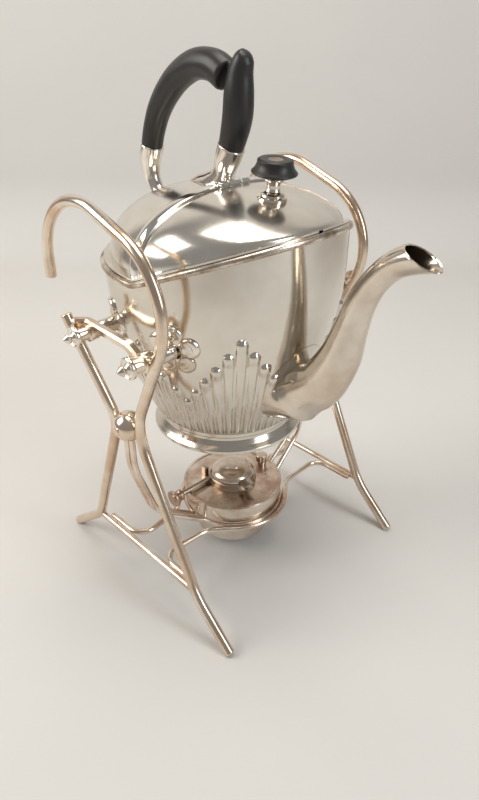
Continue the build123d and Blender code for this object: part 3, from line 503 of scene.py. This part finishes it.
columns, low_count, level_z, floor_z = 720, 92, 212.0, 125.2
angle = np.linspace(0, 360, columns, endpoint=False)[None, :]
turn = np.radians(angle)
rim_here = rim_height(KETTLE_X + BODY_R * np.cos(turn))
low_rows = np.linspace(FOOT_Z, level_z, low_count)[:, None]
z = np.vstack([np.broadcast_to(low_rows, (low_count, columns)),
               level_z + np.linspace(0, 1, 12)[1:, None] * (rim_here - level_z)])
outer = wall_radius(z) + fingers(angle, z)
down = np.linspace(1, 0, 14)[1:, None]
inner_z = np.vstack([rim_here + 0 * angle, down * (rim_here - floor_z) + floor_z])
inner = wall_radius(inner_z) - WALL_T
axis_row = np.zeros((1, columns))
radius = np.vstack([axis_row, outer, inner, axis_row])
height = np.vstack([axis_row + FOOT_Z, z, inner_z, axis_row + floor_z])
grid = np.stack([KETTLE_X + radius * np.cos(turn), radius * np.sin(turn), height], -1)
wall_silver = plated("wall_silver", (0.80, 0.76, 0.69), (0.66, 0.60, 0.52), (0.10, 0.20),
                     12.0, 0.006)
skin("kettle_wall", grid, wall_silver, "kettle_body", "kettle_shell", "flutes_near", "flutes_far",
     crease=60)


# Foot ring: a cast ring with a hollow cove and a broad turned out lip, soldered under the
# kettle. Its face is left bare.
foot = closed(rounded([(50.4, 124.0), (50.2, 121.5), (49.4, 120.2), (49.4, 118.4), (51.6, 115.0),
                       (54.6, 112.6), (54.9, 110.6), (53.9, 109.7), (52.4, 109.7),
                       (48.4, 116.0), (47.0, 119.0), (47.0, 123.9)], 0.5))
skin("kettle_foot", turned(foot, (KETTLE_X, 0, 0), (0, 0, 1), 160), wall_silver, "kettle_body",
     "foot_ring")


# Rim wire: a thick plated wire rolled into the edge of the wall all round. Its middle line
# keeps to the rim, with an eased bend at the seam; dirt sits along it.
RIM_WIRE_R = 2.2
rim_silver = plated("rim_silver", (0.84, 0.76, 0.66), (0.34, 0.26, 0.19), (0.16, 0.40), 80.0, 0.02)
round_angle = np.linspace(0, 2 * pi, 361)
x = KETTLE_X + BODY_R * np.cos(round_angle)
line = np.stack([x, BODY_R * np.sin(round_angle),
                 RIM_Z - RIM_WIRE_R + RIM_SLOPE * 0.5 * (x + np.sqrt(x ** 2 + 3.0))], -1)
out = np.stack([np.cos(round_angle), np.sin(round_angle), 0 * round_angle], -1)
small = np.linspace(0, 2 * pi, 24, endpoint=False)
grid = (line[:, None] + RIM_WIRE_R * (np.cos(small)[None, :, None] * out[:, None]
        + np.sin(small)[None, :, None] * np.array([0, 0, 1.0])))
skin("rim_wire", grid, rim_silver, "kettle_body", "rim_bead_rear", "rim_bead_front")


# Hood: the fixed rear half of the dome, spun with a full shoulder over a narrow flange that
# rests on the rim, with two toes that reach forward along the rim under the lid's corners.
DOME_R, DOME_RISE, FULL, LEDGE_R = 75.3, 42.5, 2.35, 79.5
DOME_FALL, DOME_SAG = 0.2096, 0.003437
SHEET_T, FLANGE_TOP, FLANGE_UNDER = 1.1, 1.5, 0.3
HINGE = (2.6, 282.4)
swing_r = (HINGE[1] - RIM_Z - RIM_SLOPE * HINGE[0]) / sqrt(1 + RIM_SLOPE ** 2)
swing_x = HINGE[0] + swing_r * RIM_SLOPE / sqrt(1 + RIM_SLOPE ** 2)


def half_chord(x, radius):
    """Half the width of a circle of the given radius at each x."""
    return np.sqrt(np.maximum(radius ** 2 - (x - KETTLE_X) ** 2, 0.0))


def dome_rise(x):
    """Full height of the dome over the rim: steady behind the seam, falling in front of it as
    the rim climbs."""
    ahead = np.maximum(x, 0.0)
    return DOME_RISE - DOME_FALL * ahead - DOME_SAG * ahead ** 2


def dome_top(x, y, grow=0.0):
    """Height of the dome: rim plus rise times (1 - r^n)^(1/n), with r the distance from the
    kettle's axis as a share of the dome's radius."""
    share = np.clip(np.hypot(x - KETTLE_X, y) / (DOME_R + grow), 0, 1)
    return rim_height(x) + (dome_rise(x) + grow) * (1 - share ** FULL) ** (1 / FULL)


def dome_half_width(x, z, grow=0.0):
    """Where a slice of the dome at x comes down to height z, counted from the middle."""
    part = np.clip((z - rim_height(x)) / (dome_rise(x) + grow), 0, 1)
    return half_chord(x, (DOME_R + grow) * (1 - part ** FULL) ** (1 / FULL))


def dome_sheet(x, low_z, flange):
    """Outer skin in slices, with a level flange beyond its foot, then the inner skin run back."""
    t = np.sin(np.linspace(-pi / 2, pi / 2, 81))[None, :]
    edge = np.linspace(1, 0, 5)[None, :-1]
    layers = []
    for grow, lift in ((0.0, FLANGE_TOP), (-SHEET_T, FLANGE_UNDER)):
        foot = dome_half_width(x, low_z, grow)[:, None]
        rest = np.where(flange, half_chord(x, LEDGE_R), foot[:, 0])[:, None]
        ledge = (np.maximum(rest, foot) - foot) * edge
        y = np.concatenate([-foot - ledge, foot * t, (foot + ledge)[:, ::-1]], 1)
        here = np.broadcast_to(x[:, None], y.shape)
        level = np.where(flange[:, None], rim_height(here) + lift, 0.0)
        layers.append(np.stack([here, y, np.maximum(dome_top(here, y, grow), level)], -1))
    return np.concatenate([layers[0], layers[1][:, ::-1]], 1)


steps = np.sin(np.linspace(0, pi / 2, 70))
x = (KETTLE_X - LEDGE_R + 0.02) * steps
dome_silver = plated("dome_silver", (0.88, 0.85, 0.79), (0.72, 0.66, 0.58), (0.14, 0.24),
                     14.0, 0.008)
skin("hood_dome", dome_sheet(x, rim_height(x), x < 1), dome_silver, "kettle_body", "hood",
     crease=35)


# Lid: the front half of the dome, spun plated sheet that opens on the hinge. Its lower edge
# follows the sloping rim, and behind it an arc about the hinge, so its corners clear the toes.
LID_GAP = 0.3


def lid_edge(x, gap):
    """Lowest line of the lid: the rim, lifted behind to an arc about the hinge."""
    arc = HINGE[1] - np.sqrt(np.maximum((swing_r - gap) ** 2 - (x - HINGE[0]) ** 2, 0))
    straight = rim_height(x)
    return np.where(x < swing_x, np.maximum(arc, straight), straight)


x = np.concatenate([np.linspace(LID_GAP, swing_x - 0.05, 26), [swing_x + LID_GAP],
                    swing_x + LID_GAP + (KETTLE_X + LEDGE_R - 0.32 - swing_x) * steps[1:]])
skin("lid_dome", dome_sheet(x, lid_edge(x, LID_GAP), x > swing_x), dome_silver, "lid_body",
     "lid_shell", crease=35)

x = np.linspace(-0.2, swing_x, 24)
for where, s in SIDES:
    layers = []
    for grow, way in ((0.0, 1), (-SHEET_T, -1)):
        t = np.linspace(0, 1, 8)[None, ::way]
        z = rim_height(x)[:, None] * (1 - t) + lid_edge(x, 0.0)[:, None] * t
        here = np.broadcast_to(x[:, None], z.shape)
        layers.append(np.stack([here, s * dome_half_width(here, z, grow), z], -1))
    outer_foot = np.stack([x, s * half_chord(x, LEDGE_R), rim_height(x) + FLANGE_TOP], -1)[:, None]
    lower_foot = outer_foot - np.array([0, 0, FLANGE_TOP - FLANGE_UNDER])
    skin(f"hood_toe_{where}", np.concatenate([outer_foot, layers[0], layers[1], lower_foot], 1),
         dome_silver, "kettle_body", "hood", crease=35)


# Seam band: a broad half-round roll soldered along the hood's front edge. It laps over the lid
# and carries the two outer knuckles of the hinge; the lid's knuckle turns between them.
across = np.linspace(0, 2 * pi, 28, endpoint=False)
band_x = -2.4 + 4.4 * np.cos(across)
band_h = np.maximum(0.5 + 1.9 * np.sin(across), 0.05)
t = np.linspace(-1, 1, 161)[:, None] * (pi / 2)
band_y = half_chord(band_x, DOME_R + band_h) * np.sin(t)
grid = np.stack([np.broadcast_to(band_x, band_y.shape), band_y,
                 np.maximum(dome_top(band_x, band_y, band_h), RIM_Z + 1.6)], -1)
middle = np.repeat(grid.mean(1, keepdims=True), len(across), 1)
grid = np.concatenate([middle[:1], grid, middle[-1:]])
band_silver = plated("band_silver", (0.93, 0.91, 0.87), (0.80, 0.75, 0.68), (0.07, 0.14),
                     30.0, 0.006)
skin("seam_band", grid, band_silver, "kettle_body", "hood_band", crease=50)


def barrel(radius, length, ease):
    """Outline of a plain round bar with eased edges."""
    return rounded([(0, 0), (radius, 0), (radius, length), (0, length)], ease)


KNUCKLE_R, LID_KNUCKLE, OUTER_KNUCKLE, HINGE_LONG = 2.2, 10.0, 7.0, 24.6
for where, s in SIDES:
    grid = turned(barrel(KNUCKLE_R, OUTER_KNUCKLE, 0.4), (HINGE[0], s * 5.3, HINGE[1]),
                  (0, s, 0), 28)
    skin(f"outer_knuckle_{where}", grid, band_silver, "kettle_body", "hood_band")
grid = turned(barrel(KNUCKLE_R, LID_KNUCKLE, 0.4), (HINGE[0], -LID_KNUCKLE / 2, HINGE[1]),
              (0, 1, 0), 28)
skin("lid_knuckle", grid, band_silver, "lid_body", "lid_shell")
grid = turned(barrel(1.0, HINGE_LONG, 0.2), (HINGE[0], -HINGE_LONG / 2, HINGE[1]), (0, 1, 0), 20)
skin("hinge_rod", grid, rod_silver, "kettle_body", "hinge_pin")


# Lid knob: a turned plated stem with a ringed collar, and a moulded black cap with a hollow
# flaring side and a round inlay in its top.
lean = radians(5.0)
knob_axis = (sin(lean), 0, cos(lean))
knob_at = (36, 0, 279.0)
stem = rounded([(0, -1.4), (8.9, -1.4), (9.2, 0.6), (8.4, 1.5), (7.2, 1.9), (7.4, 2.8), (6.4, 3.8),
                (4.7, 4.7), (4.1, 6.2), (4.1, 8.2), (4.9, 10.3), (7.2, 11.9), (0, 12.0)], 0.35)
skin("knob_foot", turned(stem, knob_at, knob_axis, 72), bright_silver, "lid_body", "knob_stem")


def ebony(name, gloss, grain):
    """Black polished grip: near-black with a faint long grain and a soft uneven gloss."""
    mat = bpy.data.materials.new(name)
    mat.use_nodes = True
    tree = mat.node_tree
    nodes, link = tree.nodes, tree.links.new
    shader = nodes["Principled BSDF"]
    place = nodes.new("ShaderNodeTexCoord")
    stretch = nodes.new("ShaderNodeMapping")
    stretch.inputs["Scale"].default_value = (1.0, 1.0, 0.25)
    fibre = nodes.new("ShaderNodeTexNoise")
    fibre.inputs["Scale"].default_value = grain
    fibre.inputs["Detail"].default_value = 4.0
    link(place.outputs["Object"], stretch.inputs["Vector"])
    link(stretch.outputs["Vector"], fibre.inputs["Vector"])
    ramp = nodes.new("ShaderNodeValToRGB")
    ramp.color_ramp.elements[0].color = (0.010, 0.009, 0.009, 1)
    ramp.color_ramp.elements[1].color = (0.030, 0.027, 0.025, 1)
    link(fibre.outputs["Fac"], ramp.inputs["Fac"])
    link(ramp.outputs["Color"], shader.inputs["Base Color"])
    haze = nodes.new("ShaderNodeMapRange")
    haze.inputs["To Min"].default_value = gloss
    haze.inputs["To Max"].default_value = gloss + 0.16
    link(fibre.outputs["Fac"], haze.inputs["Value"])
    link(haze.outputs["Result"], shader.inputs["Roughness"])
    pores = nodes.new("ShaderNodeBump")
    pores.inputs["Strength"].default_value = 0.05
    pores.inputs["Distance"].default_value = 0.001
    link(fibre.outputs["Fac"], pores.inputs["Height"])
    link(pores.outputs["Normal"], shader.inputs["Normal"])
    return mat


black_knob = ebony("black_knob", 0.34, 160.0)
side = np.linspace(0, 1, 12)
hollow = np.stack([10.6 + 3.1 * side ** 2.2, 21.9 - 6.4 * side], -1)
cap = np.vstack([rounded([(0, 22.3), (4.8, 22.3), (5.1, 22.8), (9.4, 22.8), (10.5, 22.1)], 0.15),
                 hollow, rounded([(13.75, 15.2), (13.2, 14.5), (7.6, 12.2), (0, 12.05)], 0.3)])
skin("knob_black", turned(cap, knob_at, knob_axis, 96), black_knob, "lid_body", "knob_cap")
inlay_tone = plated("inlay_tone", (0.42, 0.34, 0.28), (0.26, 0.20, 0.16), (0.34, 0.5), 90.0)
disc = rounded([(0, 22.25), (4.7, 22.25), (4.7, 22.5), (4.4, 22.65), (0, 22.65)], 0.08)
skin("knob_inlay", turned(disc, knob_at, knob_axis, 48), inlay_tone, "lid_body", "knob_cap")


# Spout: a swan neck made in two halves and soldered to the wall over a spread root, its
# mouth cut back to a beak. Its stations are (x, z, radius) from the root to past the mouth.
neck_stations = np.array([(66.0, 160.0, 20.4), (72.0, 164.5, 18.2), (80.5, 171.0, 16.4),
                          (87.0, 179.5, 15.0), (95.5, 196.5, 13.0), (101.0, 216.0, 10.3),
                          (106.5, 234.0, 8.9), (114.5, 249.0, 7.9), (125.0, 260.5, 7.9),
                          (137.0, 267.3, 8.4), (151.0, 272.0, 8.6), (160.0, 274.5, 8.7)])
ROOT_Z, ROOT_TALL, ROOT_WIDE = 160.5, 30.0, 27.5
MOUTH_BACK, MOUTH_TIP = np.array([129.5, 273.0]), np.array([150.5, 264.0])


def blend(t, start, start_pull, end, end_pull):
    """Cubic from start to end that leaves along one pull and arrives along the other."""
    return ((2 * t ** 3 - 3 * t ** 2 + 1) * start + (t ** 3 - 2 * t ** 2 + t) * start_pull
            + (-2 * t ** 3 + 3 * t ** 2) * end + (t ** 3 - t ** 2) * end_pull)


def smooth(values, count):
    """Curve through a row of values: a cubic in each step that keeps its slope across."""
    at = np.linspace(0, len(values) - 1.001, count)
    slope = np.gradient(values, axis=0)
    i = np.clip(at.astype(int), 0, len(values) - 2)
    return blend((at - i)[:, None], values[i], slope[i], values[i + 1], slope[i + 1])


def middle_line(run):
    """Stations of (x, z, radius) as points in the kettle's middle plane."""
    return np.stack([run[:, 0], 0 * run[:, 0], run[:, 1]], -1)


def spout_skin(shrink, root_out):
    """Rings along the neck, each column ending where it meets the mouth's plane, led into the
    wall by a spreading root whose first ring lies on the wall."""
    sides, count, fine = 72, 150, 400
    run = smooth(neck_stations, fine)
    line = middle_line(run)
    along = unit(np.gradient(line, axis=0))
    up = np.stack([-along[:, 2], 0 * along[:, 0], along[:, 0]], -1)
    turn = np.linspace(0, 2 * pi, sides, endpoint=False)
    ring = (np.cos(turn)[None, :, None] * up[:, None]
            + np.sin(turn)[None, :, None] * np.array([0, 1.0, 0]))
    full = line[:, None] + (run[:, 2] - shrink)[:, None, None] * ring
    mouth = MOUTH_TIP - MOUTH_BACK
    normal = np.array([-mouth[1], mouth[0]])
    past = (full[..., [0, 2]] - MOUTH_TIP) @ normal > 0
    past[: fine // 2] = False
    past[-1] = True
    rows = np.linspace(0, 1, count)[:, None] * np.argmax(past, 0)[None, :]
    low = np.minimum(rows.astype(int), fine - 2)
    part = (rows - low)[..., None]
    column = np.arange(sides)[None, :]
    neck = full[low, column] * (1 - part) + full[low + 1, column] * part
    root_z = ROOT_Z + (ROOT_TALL - shrink) * np.cos(turn) * np.where(np.cos(turn) < 0, 0.92, 1.1)
    root_a = (ROOT_WIDE - shrink) * np.sin(turn) / wall_radius(root_z)
    reach = wall_radius(root_z) + root_out
    root = np.stack([KETTLE_X + reach * np.cos(root_a), reach * np.sin(root_a), root_z], -1)
    t = np.linspace(0, 1, 16)[:-1, None, None]
    root_pull = (neck[0] - root) * np.array([0.35, 1.3, 1.3])
    neck_pull = (neck[8] - neck[0]) / 8 * 16 * 0.8
    return np.concatenate([blend(t, root, root_pull, neck[0], neck_pull), neck])


outer, inner = spout_skin(0.0, 0.2), spout_skin(SHEET_T, -0.9)
lip = (outer[-1:] + inner[-1:]) / 2 + 0.25 * (outer[-1:] - outer[-4:-3])
grid = np.concatenate([outer, lip, inner[::-1], outer[:1]])
spout_silver = plated("spout_silver", (0.84, 0.78, 0.69), (0.62, 0.52, 0.42), (0.12, 0.26),
                      18.0, 0.01)
skin("spout_neck", grid, spout_silver, "kettle_body", "spout", crease=50)


# Handle grip: one carved black loop whose front leg runs up past the bow into a thumb rest.
# It is carved and polished in one piece, so its two runs are blended where they meet.
def round_run(run_stations, count, sides, ease):
    """Round bar through (x, z, radius) stations in the kettle's middle plane."""
    run = smooth(np.array(run_stations), count)
    return tube(middle_line(run), run[:, 2], (0, 1, 0), sides, ease)


bow = [(-79.7, 291.0, 7.4), (-75.2, 304.5, 7.6), (-68.0, 318.0, 8.0), (-57.5, 330.0, 8.4),
       (-44.5, 340.0, 8.7), (-29.0, 346.6, 8.9), (-13.5, 346.6, 9.2), (-2.0, 341.5, 9.4)]
leg = [(-0.7, 300.2, 7.6), (3.6, 311.0, 8.6), (6.6, 322.0, 9.2), (7.6, 334.0, 8.9),
       (8.8, 344.0, 7.6), (11.8, 351.5, 6.0), (14.0, 354.5, 3.4)]
black_horn = ebony("black_horn", 0.30, 120.0)
grip = bpy.data.meshes.new("grip_loop")
points, faces = [], []
for run_stations in (bow, leg):
    half = round_run(run_stations, 60, 40, 2.0)
    faces += quads_round(half, len(points))
    points += (half.reshape(-1, 3) * MM).tolist()
grip.from_pydata(points, [], faces)
weld(grip)
piece = bpy.data.objects.new("grip_loop", grip)
bpy.context.scene.collection.objects.link(piece)
join = piece.modifiers.new("join", "REMESH")
join.mode = "VOXEL"
join.voxel_size = 0.0009
join.use_smooth_shade = True
polish = piece.modifiers.new("ease", "SMOOTH")
polish.factor = 0.6
polish.iterations = 8
piece.data.materials.append(black_horn)
carved = bpy.data.meshes.new_from_object(piece.evaluated_get(bpy.context.evaluated_depsgraph_get()))
piece.modifiers.clear()
piece.data = carved
carved.shade_smooth()
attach(piece, "kettle_body")
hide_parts("handle_grip")


# Handle sockets: two cast plated sockets that hold the ends of the grip, one on a leaf foot on
# the crown of the hood and one on a bent stem low at the back. Both are soldered on.
for place, socket_stations in (
    ("front", [(1.4, 304.2, 8.7), (-1.8, 297.2, 8.4), (-5.0, 290.0, 7.4), (-8.5, 283.5, 8.2),
               (-15.0, 279.5, 8.4), (-28.0, 276.0, 6.8), (-42.0, 270.5, 4.4)]),
    ("rear", [(-78.2, 295.0, 8.2), (-80.2, 289.0, 8.0), (-81.8, 281.0, 6.8), (-80.2, 271.5, 5.6),
              (-74.5, 264.0, 5.3), (-66.5, 259.0, 6.6)]),
):
    skin(f"{place}_socket", round_run(socket_stations, 48, 48, 0.7), bright_silver,
         "kettle_body", f"handle_{place}_socket")


# Rosettes: four stamped flowers of five cupped petals soldered to the wall, each with a round
# boss through its middle for the pin. The rear bosses are slotted to lift off their pins.
petal_silver = plated("petal_silver", (0.90, 0.86, 0.79), (0.60, 0.50, 0.40), (0.08, 0.22),
                      40.0, 0.01)
SIDE_R, EYE_R, BOSS_R, BOSS_Y = 75.2, 4.0, 5.2, 85.5


def flower(x, s):
    """Disc whose radius swells five times round; each petal is a raised cushion with a dished
    middle, lower in the clefts, laid on the wall."""
    turn = np.linspace(0, 2 * pi, 180, endpoint=False)[None, :]
    t = np.linspace(0, 1, 26)[:, None]
    lobe = np.abs(np.cos(2.5 * (turn - pi / 2)))
    edge = 9.2 + 8.4 * lobe ** 0.42
    reach = EYE_R + (edge - EYE_R) * t
    puff = np.sqrt(np.clip(1 - (2 * t - 1) ** 2, 0, 1)) * (1.0 + 2.4 * lobe ** 0.8)
    dish = -1.9 * np.exp(-((t - 0.55) / 0.22) ** 2) * lobe
    dx = x - KETTLE_X
    base = atan2(s * sqrt(SIDE_R ** 2 - dx ** 2), dx)
    z = PIN_Z + reach * np.sin(turn)
    heading = base + s * (reach * np.cos(turn)) / SIDE_R
    under, top = (np.stack([KETTLE_X + r * np.cos(heading), r * np.sin(heading), z + 0 * r], -1)
                  for r in (wall_radius(z) - 0.6, wall_radius(z) + (0.3 + puff + dish)))
    return np.concatenate([under[:1], top, under[-1:]])


boss = rounded([(0, -14.0), (BOSS_R, -14.0), (BOSS_R, -1.2), (4.4, 0.0), (3.2, 0.0), (3.2, -8.0),
                (0, -8.0)], 0.3)
stub = rounded([(0, -17.5), (BOSS_R, -17.5), (BOSS_R, -9.9), (0, -9.9)], 0.15)
for where, s in SIDES:
    for place, x in PIN_X.items():
        skin(f"rosette_petals_{place}_{where}", flower(x, s), petal_silver, "kettle_body",
             f"{place}_rosette_{where}", crease=50)
    grid = turned(boss, (PIN_X["front"], s * BOSS_Y, PIN_Z), (0, s, 0), 40)
    skin(f"rosette_boss_front_{where}", grid, petal_silver, "kettle_body",
         f"front_rosette_{where}")
    grid = turned(stub, (PIN_X["rear"], s * BOSS_Y, PIN_Z), (0, s, 0), 40)
    skin(f"rosette_boss_rear_{where}", grid, petal_silver, "kettle_body", f"rear_boss_{where}")


def fork(x, s):
    """Round disc with a square slot open below: at each turn the inner edge is the slot and the
    outer edge the circle, run along the pin's axis."""
    slot_half, slot_top, fork_y, bevel, far, tiny = 3.7, 3.3, 75.8, 0.35, 99.0, 1e-6
    foot = atan2(-sqrt(BOSS_R ** 2 - slot_half ** 2), slot_half)
    turn = np.linspace(foot, pi - foot, 120)
    beside = slot_half / np.maximum(np.abs(np.cos(turn)), tiny)
    over = np.where(np.sin(turn) > tiny, slot_top / np.maximum(np.sin(turn), tiny), far)
    bore = np.minimum(np.minimum(beside, over), BOSS_R - 0.01)
    rim = np.full_like(turn, BOSS_R)
    rings = []
    for r, y in ((bore, fork_y), (rim, fork_y), (rim, 84.9), (rim - bevel, BOSS_Y),
                 (bore, BOSS_Y)):
        r = np.maximum(r, bore)
        rings.append(np.stack([x + r * np.cos(turn), np.full_like(turn, s * y),
                               PIN_Z + r * np.sin(turn)], -1))
    return np.stack(rings, 1)


for where, s in SIDES:
    skin(f"rosette_fork_{where}", fork(PIN_X["rear"], s), petal_silver, "kettle_body",
         f"rear_boss_{where}", crease=35)


# Burner: a spun drum over a narrower cup, closed by a plate whose plating the heat has worn
# to a warm copper tone. Everything on it stands on that plate.
UPRIGHT, AXIS_FOOT, PLATE_Z = (0, 0, 1), (0, 0, 0), 51.4
drum_silver = plated("drum_silver", (0.84, 0.78, 0.69), (0.62, 0.50, 0.41), (0.12, 0.26),
                     26.0, 0.01)
worn = plated("worn_copper", (0.78, 0.68, 0.58), (0.50, 0.35, 0.27), (0.18, 0.36), 44.0)
cup = rounded([(0, 8.5), (26.5, 8.5), (29.0, 11.0), (29.0, 36.5), (28.0, 36.5), (28.0, 12.0),
               (25.6, 9.5), (0, 9.5)], 0.6)
skin("cup_spun", turned(cup, AXIS_FOOT, UPRIGHT, 120), drum_silver, "burner_body", "burner_cup")
drum = closed(rounded([(28.0, 36.5), (37.2, 36.5), (38.4, 37.7), (38.4, 50.0), (37.4, 50.0),
                       (37.4, 37.6), (28.0, 37.5)], 0.5))
skin("drum_spun", turned(drum, AXIS_FOOT, UPRIGHT, 140), drum_silver, "burner_body",
     "burner_drum")
plate = closed(rounded([(6.0, 50.05), (38.6, 50.05), (39.2, 50.7), (38.8, 51.6), (37.2, 51.5),
                        (36.2, 51.0), (20.0, PLATE_Z), (6.0, PLATE_Z)], 0.25))
skin("top_plate", turned(plate, AXIS_FOOT, UPRIGHT, 140), worn, "burner_body", "burner_plate")


# Wick collar, tube and wick: a turned collar round the wick, a thin tube below it that is
# soldered into the plate, and a round cotton wick that slides in the tube.
burner_brass = plated("tube_brass", (0.62, 0.52, 0.42), (0.36, 0.28, 0.21), (0.22, 0.40), 50.0)
ring = closed(rounded([(16.0, PLATE_Z), (19.2, PLATE_Z), (18.6, 52.6), (18.4, 56.4), (17.8, 57.0),
                       (16.0, 57.0)], 0.3))
skin("collar_turned", turned(ring, AXIS_FOOT, UPRIGHT, 96), burner_brass, "burner_body",
     "wick_collar")
pipe = closed(rounded([(5.1, 14.5), (6.0, 14.5), (6.0, 57.0), (5.1, 57.0)], 0.2))
skin("wick_pipe", turned(pipe, AXIS_FOOT, UPRIGHT, 48), burner_brass, "burner_body", "wick_tube")
cotton = bpy.data.materials.new("wick_cotton")
cotton.use_nodes = True
nodes, link = cotton.node_tree.nodes, cotton.node_tree.links.new
place = nodes.new("ShaderNodeTexCoord")
strands = nodes.new("ShaderNodeTexWave")
strands.inputs["Scale"].default_value = 420.0
strands.inputs["Distortion"].default_value = 2.0
link(place.outputs["Object"], strands.inputs["Vector"])
ramp = nodes.new("ShaderNodeValToRGB")
ramp.color_ramp.elements[0].color = (0.42, 0.36, 0.28, 1)
ramp.color_ramp.elements[1].color = (0.78, 0.72, 0.62, 1)
link(strands.outputs["Fac"], ramp.inputs["Fac"])
link(ramp.outputs["Color"], nodes["Principled BSDF"].inputs["Base Color"])
nodes["Principled BSDF"].inputs["Roughness"].default_value = 0.95
wick = rounded([(0, 12.5), (4.9, 12.5), (4.9, 57.6), (4.4, 58.0), (0, 58.0)], 0.2)
skin("wick_round", turned(wick, AXIS_FOOT, UPRIGHT, 40), cotton, "wick_body", "wick")


# Snuffer: a spun cap with a flat top that sits on the collar, with a folded tab to lift it by.
# Its side is a quarter of an oval, outside and inside.
heat_dark = plated("heat_dark", (0.50, 0.42, 0.35), (0.26, 0.20, 0.16), (0.20, 0.36), 60.0)
SNUFFER_Z = 57.3
slope = np.linspace(0, pi / 2, 14)
side = np.stack([6.4 + 11.0 * np.cos(slope), SNUFFER_Z + 6.9 * np.sin(slope)], -1)
inside = np.stack([6.0 + 10.4 * np.cos(slope), SNUFFER_Z + 6.0 * np.sin(slope)], -1)
cap = closed(np.vstack([side, [(6.2, 64.5), (0.0, 64.5), (0.0, 63.4), (6.0, 63.4)],
                        inside[::-1]]))
skin("snuffer_spun", turned(cap, AXIS_FOOT, UPRIGHT, 96), drum_silver, "snuffer_body",
     "snuffer_cap")
tab_a, tab_z, tab_wider, tab_thicker = radians(-12.0), 59.0, 3.5, 0.7
line = np.array([(r * cos(tab_a), r * sin(tab_a), tab_z) for r in np.linspace(15.6, 27.0, 9)])
grid = bar(line, 1.0, 0.3)
centre = grid.mean(1, keepdims=True)
sideways = np.array([-sin(tab_a), cos(tab_a), 0.0])
offset = grid - centre
grid = (centre + offset + (offset @ sideways)[..., None] * sideways * tab_wider
        + offset * np.array([0, 0, tab_thicker]))
skin("snuffer_tab_folded", grid, heat_dark, "snuffer_body", "snuffer_tab", crease=25)


# Filler: a short tube soldered in at the side of the plate, with a turned screw cap whose
# edge is knurled for the fingers.
FILLER_AT = np.array([4, 29, 0])
pipe = closed(rounded([(2.6, 46.0), (3.6, 46.0), (3.6, 57.6), (2.6, 57.6)], 0.2))
skin("filler_pipe", turned(pipe, FILLER_AT, UPRIGHT, 40), drum_silver, "burner_body",
     "filler_tube")
lid = closed(rounded([(3.66, 55.6), (4.6, 55.6), (4.6, 61.0), (4.0, 61.6), (0, 61.6), (0, 57.9),
                      (3.66, 57.9)], 0.2))
cap_sides, knurl_cut, knurl_from = 96, 0.05, 4.3
grid = turned(lid, FILLER_AT, UPRIGHT, cap_sides)
spokes = 1 - knurl_cut * (np.arange(cap_sides) % 4 > 1)
from_axis = grid - FILLER_AT
knurl = (np.hypot(from_axis[..., 0], from_axis[..., 1]) > knurl_from)[..., None]
cut = from_axis * np.stack([spokes, spokes, np.ones(cap_sides)], -1)[None]
grid = np.where(knurl, FILLER_AT + cut, grid)
skin("filler_screw_cap", grid, drum_silver, "filler_cap_body", "filler_cap", crease=30)


# Wick regulator: a thin turned shaft out of the collar with a trumpet-shaped finger disc, and
# the small square post beside it, riveted to the plate.
REGULATOR_X, REGULATOR_Z, OUTWARD = -9, 54.2, (0, -1, 0)
rod = barrel(2.0, 40.0, 0.2)
skin("regulator_rod", turned(rod, (REGULATOR_X, -5, REGULATOR_Z), OUTWARD, 28), burner_brass,
     "regulator_body", "regulator_shaft")
disc = rounded([(0, 0), (3.2, 0), (4.4, 0.8), (4.4, 3.2), (3.0, 4.2), (3.2, 5.2), (5.6, 6.6),
                (6.6, 7.6), (6.6, 8.8), (5.8, 9.2), (4.6, 8.4), (3.0, 8.2), (2.6, 9.0), (0, 9.2)],
               0.25)
skin("regulator_disc", turned(disc, (REGULATOR_X, -45, REGULATOR_Z), OUTWARD, 64), worn,
     "regulator_body", "regulator_knob")
POST_AT, POST_TOP = np.array([-18.0, -13.4]), 59.0
square = np.array([[(2, 2), (-2, 2), (-2, -2), (2, -2)]], float)
scale = np.array([0, 1, 1, 1, 1, 0.75, 0])[:, None, None]
level = np.array([PLATE_Z, PLATE_Z, 53, 55, 58.3, POST_TOP, POST_TOP])
grid = np.concatenate([POST_AT + square * scale,
                       np.broadcast_to(level[:, None, None], (7, 4, 1))], -1)
skin("regulator_post_cut", grid, heat_dark, "burner_body", "regulator_post", crease=25)
